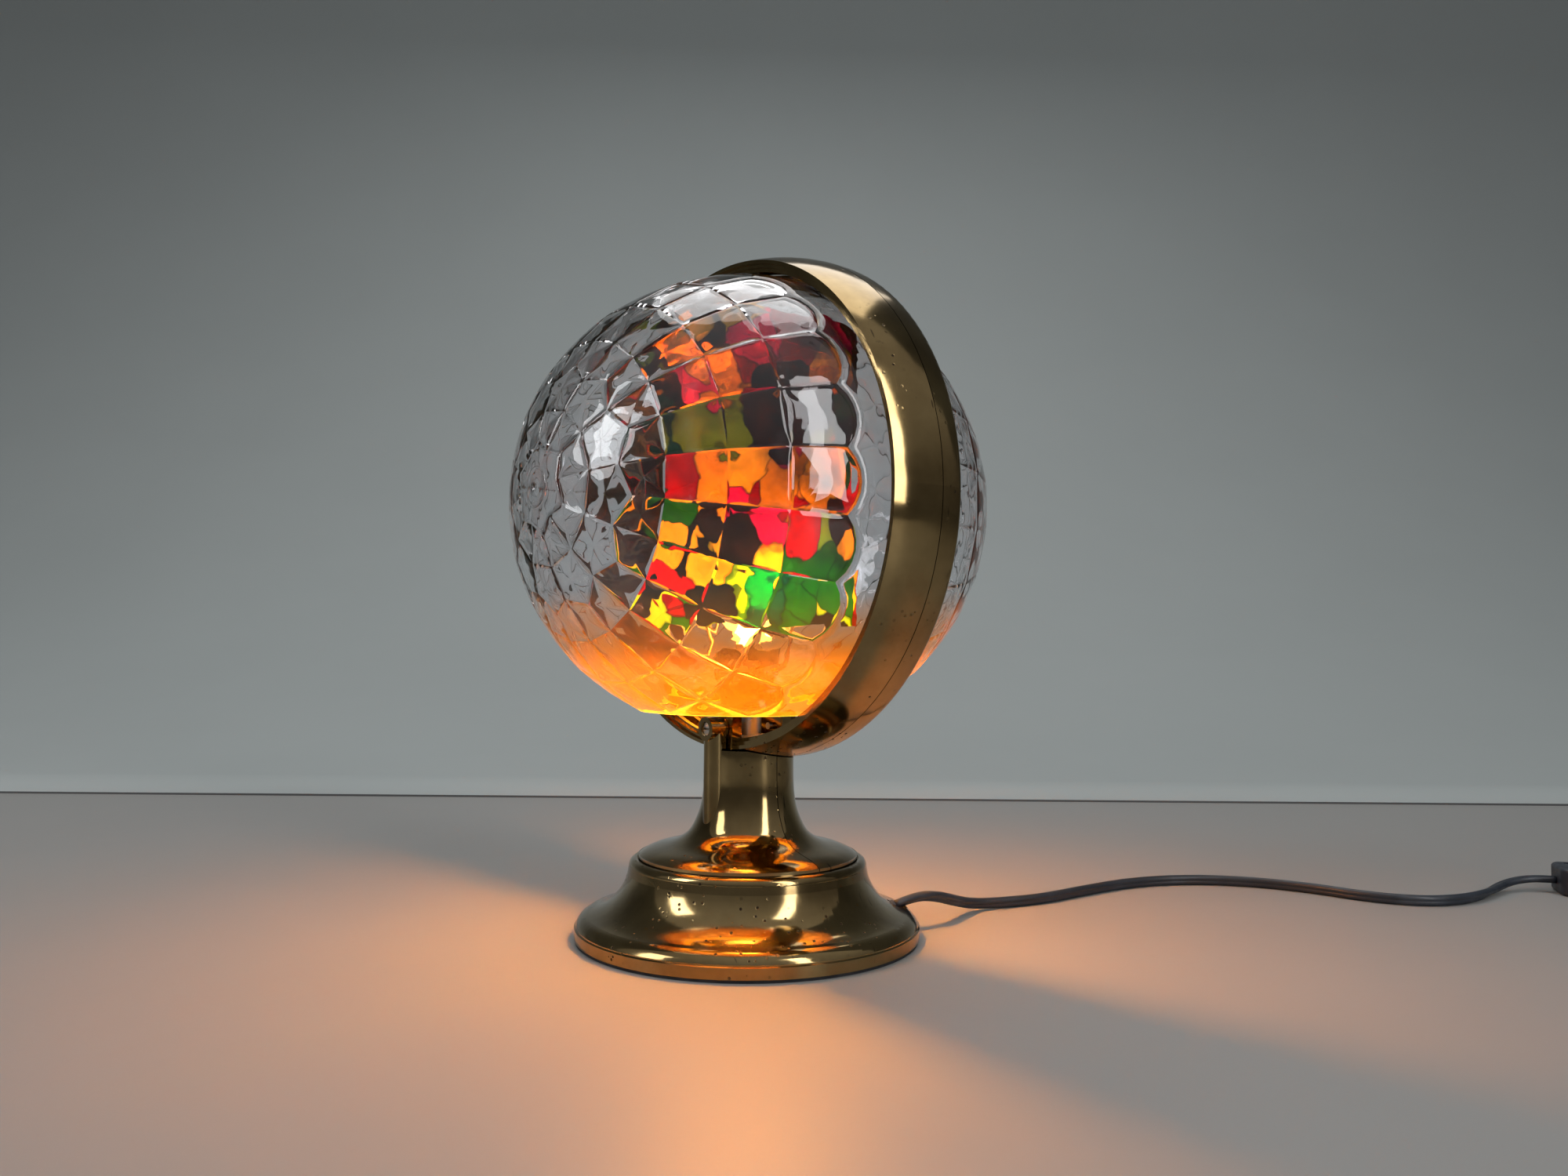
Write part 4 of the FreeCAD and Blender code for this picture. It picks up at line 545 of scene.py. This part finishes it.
GILT = gilt_material()
CLEAR = globe_material()
BULB = bulb_material()
FILM = film_material()
STEEL = plain_metal("zinc_steel", (0.62, 0.62, 0.60), 0.35)
DARK_STEEL = plain_metal("spring_steel", (0.42, 0.42, 0.43), 0.30)
IRON = plain_metal("cast_iron", (0.10, 0.10, 0.10), 0.65, 180.0)
BRASS = plain_metal("brass", (0.72, 0.55, 0.28), 0.30)
ALUMINIUM = plain_metal("aluminium_sheet", (0.80, 0.80, 0.79), 0.32)
RUBBER = moulded("foot_rubber", (0.020, 0.020, 0.022), 0.8, 0.3)
CORD = moulded("cord_pvc", (0.018, 0.024, 0.034), 0.42, 0.5)
SWITCH = moulded("switch_plastic", (0.016, 0.022, 0.034), 0.45, 0.5)
ROCKER = moulded("rocker_plastic", (0.030, 0.030, 0.034), 0.30, 0.5)
BLACK = moulded("holder_black", (0.02, 0.018, 0.017), 0.28, 0.5)
GREY = moulded("clamp_plastic", (0.10, 0.10, 0.10), 0.5, 0.4)
CERAMIC = moulded("porcelain", (0.80, 0.79, 0.75), 0.2, 0.6)
WHITE_WIRE = moulded("wire_insulation", (0.72, 0.70, 0.66), 0.45, 0.4)
HOOP = moulded("hoop_plastic", (0.55, 0.55, 0.53), 0.3, 0.5)
FILAMENT = glowing("filament_glow", (1.0, 0.62, 0.22), 40.0)

SHARP_ANGLE = math.radians(32.0)

LOOKS = {
    GILT: ("base_shell", "stem_front_half", "stem_back_half", "ring_front", "ring_back"),
    RUBBER: ("foot_ring",),
    STEEL: ("base_plate", "base_screws", "flange_screws", "clamp_screws", "ear_screws",
            "switch_screws", "lamp_pipe", "pipe_nut_upper", "pipe_nut_lower", "rocker_pin"),
    IRON: ("base_weight",),
    BRASS: ("socket_sleeve", "socket_contact", "pivot_cup", "switch_contacts", "plug_pins"),
    ALUMINIUM: ("bulb_cap", "fan_wheel"),
    DARK_STEEL: ("needle_frame", "pivot_needle"),
    GREY: ("cord_clamp",),
    BLACK: ("lampholder_base", "lampholder_shell"),
    CERAMIC: ("socket_seat",),
    WHITE_WIRE: ("supply_wires",),
    CORD: ("cord_in_base",),
    SWITCH: ("switch_base", "switch_cover", "plug_body"),
    ROCKER: ("switch_rocker",),
    HOOP: ("drum_hoop",),
    BULB: ("bulb_glass",),
    FILAMENT: ("bulb_filament",),
}


def dress_nodes():
    """Finish every carried node, shaded smooth except at real corners."""
    for look, names in LOOKS.items():
        for name in names:
            mesh = NODES[name].data
            mesh.materials.clear()
            mesh.materials.append(look)
            for polygon in mesh.polygons:
                polygon.use_smooth = True
            mesh.set_sharp_from_angle(angle=SHARP_ANGLE)


dress_nodes()


def finish_piece(obj, body, look, slot, *replaced):
    """Give a piece its material and its body, and hide the nodes that it stands for. The slot
    argument is not used.
    """
    obj.data.materials.clear()
    obj.data.materials.append(look)
    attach(obj, body)
    if replaced:
        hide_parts(*replaced)


finish_piece(CORD_TO_SWITCH, "lamp", CORD, "cord_pvc", "cord_to_switch")
finish_piece(CORD_TO_PLUG, "lamp", CORD, "cord_pvc", "cord_to_coil", "cord_coil", "cord_to_plug")


# Clear globe halves: pillowed facets outside, smooth inside.
# Lengths are in metres and angles in degrees from the pole of each half.

GLOBE_Z = 0.175
SHELL_R = 0.0932
INNER_R = 0.0903
CENTRE_T = 0.00585
SKIRT_FRONT = 0.0068
SKIRT_BACK = 0.0046
SECTORS = 24
SECTOR = 15.0
START = -82.5
FINE = 6
GROOVE = 0.0005
EDGE = 0.0011
BULGE = 0.0007
BULGE_SHARE = 0.11
BUTTON_EDGE = 4.8
HEX_LOW = 8.8
HEX_HIGH = 11.3
FIRST_RING = 18.3
PENTAGON_SIDE = 26.3
PENTAGON_PEAK = 29.8
ROWS = (37.3, 50.5, 64.0)
TIP_NORMAL_ANGLE = 70.0
TIP_ANGLE = 79.8
TIP_SEARCH = (75.0, 86.0)
BAND_STEPS = (0.06, 0.2, 0.45, 0.7, 1.0)
INNER_ROWS = 24
BUTTON = ((0.0, 0.09275), (0.0011, 0.0928), (0.0016, 0.09330), (0.0020, 0.09342),
          (0.0042, 0.09336), (0.0066, 0.0931), (0.0074, 0.0929), (0.00778, 0.0926))
LUG_ANGLES = (-120.0, -70.0, -20.0, 20.0, 70.0, 120.0)
LUG_SPAN = 9.0
LUG_PIECES = 6
LUG_INNER_R = 0.0930
LUG_OUTER_R = 0.0982
LUG_THICK = 0.0018
WELD = 0.00001
CUT_SLACK = 0.000001


def toward(theta, phi, radius):
    """Point at an angle from the pole and an angle round it."""
    a, b = math.radians(theta), math.radians(phi)
    return Vector((-math.sin(b) * math.sin(a), math.cos(b) * math.sin(a), math.cos(a))) * radius


TIP_NORMAL = toward(TIP_NORMAL_ANGLE, 0.0, 1.0)
TIP_DISTANCE = SHELL_R * math.cos(math.radians(TIP_ANGLE - TIP_NORMAL_ANGLE))


def tip_radius(theta, offset):
    """Distance of a last-row facet's flat from the globe's middle."""
    return TIP_DISTANCE / toward(theta, offset, 1.0).dot(TIP_NORMAL)


CORNER = tip_radius(ROWS[-1], SECTOR / 2)


def tip_theta(offset):
    """Angle from the pole at which a last-row facet meets the smooth band."""
    low, high = TIP_SEARCH
    low -= 3.0 * abs(offset) / (SECTOR / 2)
    for _ in range(40):
        middle = (low + high) / 2
        if tip_radius(middle, offset) < SHELL_R:
            low = middle
        else:
            high = middle
    return (low + high) / 2


class Patchwork:
    """Collects small triangles and quads, each with the facet that it belongs to."""

    def __init__(self):
        self.verts = []
        self.faces = []
        self.group = []
        self.current = 0

    def next_facet(self):
        """Start a new facet, with a hard edge to the others."""
        self.current += 1

    def cushion(self, corners, bottom=()):
        """One facet: a groove at its border, a rounded edge and a bulging middle."""
        self.next_facet()
        border = []
        loop = list(corners) + [corners[0]]
        for a, b in zip(loop, loop[1:]):
            border += [lerp(a, b, j / FINE) for j in range(FINE)]
        if bottom:
            border = border[:FINE] + list(bottom)
        middle = sum(border, Vector()) / len(border)
        sides = list(zip(border, border[1:] + border[:1]))
        apothem = min((lerp(a, b, 0.5) - middle).length for a, b in sides)
        rim = min(EDGE / apothem, 0.4)
        bulge = min(BULGE, BULGE_SHARE * apothem)
        plan = [(1.0, -GROOVE), (1.0 - 0.45 * rim, -0.42 * GROOVE), (1.0 - rim, 0.0)]
        plan += [(share * (1.0 - rim), bulge * (1.0 - share * share))
                 for share in (0.86, 0.66, 0.44, 0.22)]
        rings = []
        for scale, lift in plan:
            ring = []
            for point in border:
                place = middle + (point - middle) * scale
                self.verts.append(place + place.normalized() * lift)
                ring.append(len(self.verts) - 1)
            rings.append(ring)
        count = len(border)
        for outer, inner in zip(rings, rings[1:]):
            for j in range(count):
                k = (j + 1) % count
                self.add((outer[j], outer[k], inner[k], inner[j]))
        self.verts.append(middle + middle.normalized() * bulge)
        top = len(self.verts) - 1
        for j in range(count):
            self.add((rings[-1][j], rings[-1][(j + 1) % count], top))

    def grid(self, rows):
        """Quads between rows of points."""
        ids = []
        for row in rows:
            line = []
            for point in row:
                self.verts.append(point)
                line.append(len(self.verts) - 1)
            ids.append(line)
        for upper, lower in zip(ids, ids[1:]):
            for j in range(len(upper) - 1):
                self.add((upper[j], lower[j], lower[j + 1], upper[j + 1]))

    def add(self, face):
        """One face of the current facet."""
        self.faces.append(face)
        self.group.append(self.current)


def lerp(a, b, share):
    """Value or point between a and b."""
    return a + (b - a) * share


def button_sector(work, low):
    """A sixth of the middle: one six-sided facet and the two cushions outside it."""
    hex_low = toward(HEX_LOW, low, CORNER)
    hex_high = toward(HEX_HIGH, low + 30.0, CORNER)
    hex_next = toward(HEX_LOW, low + 60.0, CORNER)
    work.next_facet()
    count = 2 * FINE
    outer = [lerp(hex_low, hex_high, j / FINE) for j in range(FINE)]
    outer += [lerp(hex_high, hex_next, j / FINE) for j in range(FINE + 1)]
    sunk = [point - point.normalized() * GROOVE for point in outer]
    inner = [toward(BUTTON_EDGE, low + 60.0 * j / count, CORNER) for j in range(count + 1)]
    rows = [[lerp(a, b, v / 4) for a, b in zip(inner, outer)] for v in range(4)]
    rows.append([lerp(a, b, 0.87) for a, b in zip(inner, outer)])
    work.grid(rows + [sunk])
    far = [toward(FIRST_RING, low + step, CORNER) for step in (0.0, 30.0, 60.0)]
    work.cushion([hex_low, far[0], far[1], hex_high])
    work.cushion([hex_high, far[1], far[2], hex_next])


def pentagon_sector(work, low):
    """A twelfth of the next rows: one pentagon and the two facets below it."""
    inner = [toward(FIRST_RING, low, CORNER), toward(FIRST_RING, low + 30.0, CORNER)]
    side = [toward(PENTAGON_SIDE, low, CORNER), toward(PENTAGON_SIDE, low + 30.0, CORNER)]
    normal = (inner[1] - inner[0]).cross(side[0] - inner[0]).normalized()
    ray = toward(PENTAGON_PEAK, low + SECTOR, 1.0)
    peak = ray * (normal.dot(inner[0]) / ray.dot(normal))
    work.cushion([inner[0], side[0], peak, side[1], inner[1]])
    row = [toward(ROWS[0], low + step, CORNER) for step in (0.0, 15.0, 30.0)]
    work.cushion([side[0], row[0], row[1], peak])
    work.cushion([peak, row[1], row[2], side[1]])


def outer_sector(work, low):
    """One sector of the outer rows, the last with its scalloped tip."""
    for near, far in zip(ROWS, ROWS[1:]):
        work.cushion([toward(near, low, CORNER), toward(far, low, CORNER),
                      toward(far, low + SECTOR, CORNER), toward(near, low + SECTOR, CORNER)])
    left, right = toward(ROWS[-1], low, CORNER), toward(ROWS[-1], low + SECTOR, CORNER)
    bottom = [toward(tip_theta(SECTOR * (j / FINE - 0.5)), low + SECTOR * j / FINE, SHELL_R)
              for j in range(FINE + 1)]
    foot = [lerp(left, bottom[0], j / FINE) for j in range(FINE)] + bottom
    foot += [lerp(bottom[-1], right, j / FINE) for j in range(1, FINE)]
    work.cushion([right, left], foot)


def facets(work):
    """Facet rows from the button out to the scalloped tips."""
    for k in range(6):
        button_sector(work, START + 60.0 * k)
    for k in range(12):
        pentagon_sector(work, START + 30.0 * k)
    for k in range(SECTORS):
        outer_sector(work, START + SECTOR * k)


def band_and_skirt(work, skirt):
    """Smooth band below the tips, the skirt inside the ring, its foot and the smooth inside."""
    work.next_facet()
    for k in range(SECTORS):
        low = START + SECTOR * k
        columns = []
        for j in range(FINE + 1):
            phi = low + SECTOR * j / FINE
            theta = tip_theta(SECTOR * (j / FINE - 0.5))
            column = [toward(theta, phi, SHELL_R - GROOVE)]
            column += [toward(lerp(theta, 90.0, v), phi, SHELL_R) for v in BAND_STEPS]
            column.append(column[-1] - Vector((0, 0, skirt)))
            columns.append(column)
        work.grid([list(row) for row in zip(*columns)])
    around = SECTORS * FINE
    work.next_facet()
    feet = []
    for radius in (SHELL_R, INNER_R):
        feet.append([toward(90.0, START + 360.0 * j / around, radius) - Vector((0, 0, skirt))
                     for j in range(around + 1)])
    work.grid(feet)
    work.next_facet()
    rows = [feet[1]]
    for v in range(INNER_ROWS):
        theta = 90.0 - 90.0 * v / INNER_ROWS
        rows.append([toward(theta, START + 360.0 * j / around, INNER_R) for j in range(around + 1)])
    work.grid(rows)
    tip = len(work.verts)
    work.verts.append(Vector((0, 0, INNER_R)))
    base = len(work.verts)
    work.verts += rows[-1][:-1]
    for j in range(around):
        work.add((tip, base + j, base + (j + 1) % around))


def circle(radius, height, count):
    """Closed ring of points round the pole, the first one again at its end."""
    angles = [math.radians(START) + 2 * math.pi * j / count for j in range(count + 1)]
    return [Vector((-math.sin(a) * radius, math.cos(a) * radius, height)) for a in angles]


def button(work):
    """Round button at the pole with a small dimple."""
    work.next_facet()
    count = 12 * FINE
    rows = [circle(radius, height, count) for radius, height in BUTTON[1:]]
    inner = toward(BUTTON_EDGE, 0.0, CORNER)
    rows.append(circle(math.hypot(inner.x, inner.y), inner.z, count))
    work.grid(rows)
    centre = len(work.verts)
    work.verts.append(Vector((0, 0, BUTTON[0][1])))
    base = len(work.verts)
    work.verts += rows[0][:-1]
    for j in range(count):
        work.add((centre, base + (j + 1) % count, base + j))


def lugs(work, skirt):
    """Small tabs that the ring clamps."""
    low, high = -skirt, -skirt + LUG_THICK
    section = ((LUG_INNER_R, low), (LUG_OUTER_R, low), (LUG_OUTER_R, high), (LUG_INNER_R, high),
               (LUG_INNER_R, low))
    for middle in LUG_ANGLES:
        work.next_facet()
        corners = []
        for j in range(LUG_PIECES + 1):
            phi = middle + LUG_SPAN * (j / LUG_PIECES - 0.5)
            corners.append([toward(90.0, phi, radius) + Vector((0, 0, height))
                            for radius, height in section])
        work.grid([list(row) for row in zip(*corners)])
        for end in (corners[0], corners[-1]):
            start = len(work.verts)
            work.verts += end[:4]
            work.add((start, start + 1, start + 2, start + 3))


def globe_half(name, skirt, front):
    """One half, made round +Z, then turned to face the front or the back and cut at its foot."""
    work = Patchwork()
    facets(work)
    button(work)
    band_and_skirt(work, skirt)
    lugs(work, skirt)
    mesh = bpy.data.meshes.new(name)
    verts = []
    for point in work.verts:
        t = point.z + CENTRE_T
        if front:
            verts.append((point.x, -t, point.y + GLOBE_Z))
        else:
            verts.append((-point.x, t, point.y + GLOBE_Z))
    mesh.from_pydata(verts, [], work.faces)
    bm = bmesh.new()
    bm.from_mesh(mesh)
    bm.faces.ensure_lookup_table()
    tag = bm.faces.layers.int.new("facet")
    for face, group in zip(bm.faces, work.group):
        face[tag] = group
    bmesh.ops.remove_doubles(bm, verts=bm.verts, dist=WELD)
    bmesh.ops.recalc_face_normals(bm, faces=bm.faces)
    cut = bmesh.ops.bisect_plane(bm, geom=bm.verts[:] + bm.edges[:] + bm.faces[:], dist=CUT_SLACK,
                                 plane_co=(0, 0, CUT_Z), plane_no=(0, 0, -1), clear_outer=True)
    rim = [item for item in cut["geom_cut"] if isinstance(item, bmesh.types.BMEdge)]
    bmesh.ops.triangle_fill(bm, edges=rim, use_beauty=True)
    bmesh.ops.recalc_face_normals(bm, faces=bm.faces)
    for edge in bm.edges:
        if len(edge.link_faces) == 2 and edge.link_faces[0][tag] != edge.link_faces[1][tag]:
            edge.smooth = False
    for face in bm.faces:
        face.smooth = True
    bm.to_mesh(mesh)
    bm.free()
    return new_object(name, mesh)


GLOBE_FRONT = globe_half("faceted_globe_front", SKIRT_FRONT, True)
GLOBE_BACK = globe_half("faceted_globe_back", SKIRT_BACK, False)
finish_piece(GLOBE_FRONT, "lamp", CLEAR, "clear_plastic", "globe_front")
finish_piece(GLOBE_BACK, "lamp", CLEAR, "clear_plastic", "globe_back")


# Printed film drum, a little out of round as a rolled film is

def film_drum():
    """Open cylinder with a faint ripple, most of it half way up."""
    around, up = 120, 30
    verts, faces = [], []
    for i in range(up + 1):
        z = FILM_LOW + (FILM_HIGH - FILM_LOW) * i / up
        for j in range(around):
            a = 2 * math.pi * j / around
            slack = math.sin(math.pi * i / up)
            wave = 0.00018 * slack * (math.sin(3 * a + 1.3) + 0.6 * math.sin(7 * a + z * 60))
            radius = FILM_R + wave
            verts.append((radius * math.cos(a), radius * math.sin(a), z))
    for i in range(up):
        low, high = i * around, (i + 1) * around
        for j in range(around):
            after = (j + 1) % around
            faces.append((low + j, low + after, high + after, high + j))
    drum = mesh_object("printed_film_drum", verts, faces)
    thick = drum.modifiers.new("film", "SOLIDIFY")
    thick.thickness = FILM_THICK
    thick.offset = 0.0
    return drum


DRUM = film_drum()
finish_piece(DRUM, "drum", FILM, "printed_film", "colour_film")


# Floor, backdrop and light

FORWARD = Vector((-0.774, 0.6315, 0.0)).normalized()
RIGHT = Vector((0.6315, 0.774, 0.0)).normalized()
TABLE_EDGE = Vector((0.386, -0.297, -0.00002)) + FORWARD * 0.893
TABLE_DEEP = 12.0
STAGE_HALF = 28.0
STEP_UP = 0.0015
SWEEP_R = 1.5
SWEEP_PIECES = 24
WALL_TOP = 20.0
SKY_BANDS = ((0.48, 0.08), (0.95, 0.38))
BULB_MIDDLE = (0.0, 0.0, 0.1425)


def stage_material(name, colour, rough, fleck):
    """Matt paint with faint clouds."""
    s = Shader(name)
    dark = tuple(c * (1.0 - fleck) for c in colour)
    s.color(s.steps(s.noise(3.0, 6.0, 0.6), ((0.3, dark), (0.7, colour))))
    s.set(Roughness=rough, Specular_IOR_Level=0.3)
    return s.material


def add_stage():
    """A floor up to the table's far edge in the photograph, then a sweep that rises behind it."""
    near = TABLE_EDGE - FORWARD * TABLE_DEEP
    side = RIGHT * STAGE_HALF
    floor = mesh_object("floor", [near - side, near + side, TABLE_EDGE + side, TABLE_EDGE - side],
                        [(0, 1, 2, 3)], False)
    floor.data.materials.append(stage_material("floor_paint", (0.285, 0.282, 0.272), 0.50, 0.05))
    rise = [(0.0, 0.0), (0.0, STEP_UP)]
    for step in range(1, SWEEP_PIECES + 1):
        angle = math.radians(90.0 * step / SWEEP_PIECES)
        rise.append((SWEEP_R * math.sin(angle), STEP_UP + SWEEP_R * (1.0 - math.cos(angle))))
    rise.append((SWEEP_R, WALL_TOP))
    verts = []
    for back, up in rise:
        line = TABLE_EDGE + FORWARD * back + Vector((0, 0, up))
        verts += [line - side, line + side]
    faces = [(2 * k, 2 * k + 1, 2 * k + 3, 2 * k + 2) for k in range(len(rise) - 1)]
    sweep = mesh_object("backdrop", verts, faces)
    sweep.data.polygons[0].use_smooth = False
    sweep.data.materials.append(stage_material("backdrop_paint", (0.36, 0.39, 0.385), 0.7, 0.04))
    sweep.data.materials.append(stage_material("edge_shadow", (0.10, 0.10, 0.10), 0.7, 0.04))
    sweep.data.polygons[0].material_index = 1


def area_light(name, place, target, size, power, colour=(1.0, 1.0, 1.0)):
    """Soft rectangular light aimed at a point."""
    data = bpy.data.lights.new(name, "AREA")
    data.shape = "RECTANGLE"
    data.size, data.size_y = size
    data.energy = power
    data.color = colour
    lamp = new_object(name, data)
    lamp.location = place
    aim = Vector(target) - Vector(place)
    lamp.rotation_mode = "QUATERNION"
    lamp.rotation_quaternion = aim.to_track_quat("-Z", "Y")


def point_light(name, place, power, colour, radius):
    """Round light of a given radius."""
    data = bpy.data.lights.new(name, "POINT")
    data.energy = power
    data.color = colour
    data.shadow_soft_size = radius
    lamp = new_object(name, data)
    lamp.location = place


def add_world():
    """Room light that grows from the horizon up."""
    world = bpy.data.worlds.new("room")
    SCENE.world = world
    world.use_nodes = True
    nodes, links = world.node_tree.nodes, world.node_tree.links
    nodes.clear()
    out = nodes.new("ShaderNodeOutputWorld")
    sky = nodes.new("ShaderNodeBackground")
    where = nodes.new("ShaderNodeTexCoord")
    split = nodes.new("ShaderNodeSeparateXYZ")
    bands = nodes.new("ShaderNodeValToRGB")
    raise_up = nodes.new("ShaderNodeMath")
    raise_up.operation = "MULTIPLY_ADD"
    raise_up.inputs[1].default_value = 0.5
    raise_up.inputs[2].default_value = 0.5
    for element, (position, level) in zip(bands.color_ramp.elements, SKY_BANDS):
        element.position = position
        element.color = (level, level * 1.01, level * 1.03, 1.0)
    links.new(where.outputs["Generated"], split.inputs[0])
    links.new(split.outputs["Z"], raise_up.inputs[0])
    links.new(raise_up.outputs[0], bands.inputs[0])
    links.new(bands.outputs[0], sky.inputs[0])
    links.new(sky.outputs[0], out.inputs[0])


add_stage()
add_world()
area_light("window_left", (-0.35, -1.25, 0.80), (0, 0, 0.15), (0.40, 0.75), 7.0, (0.96, 0.98, 1.0))
area_light("window_right", (1.20, 0.05, 0.75), (0, 0, 0.15), (0.26, 1.30), 7.5, (0.98, 0.99, 1.0))
area_light("ceiling", (-0.50, 0.45, 1.8), (0, 0, 0), (1.3, 1.3), 12.0)
point_light("bulb_light", BULB_MIDDLE, 3.4, (1.0, 0.32, 0.030), 0.010)
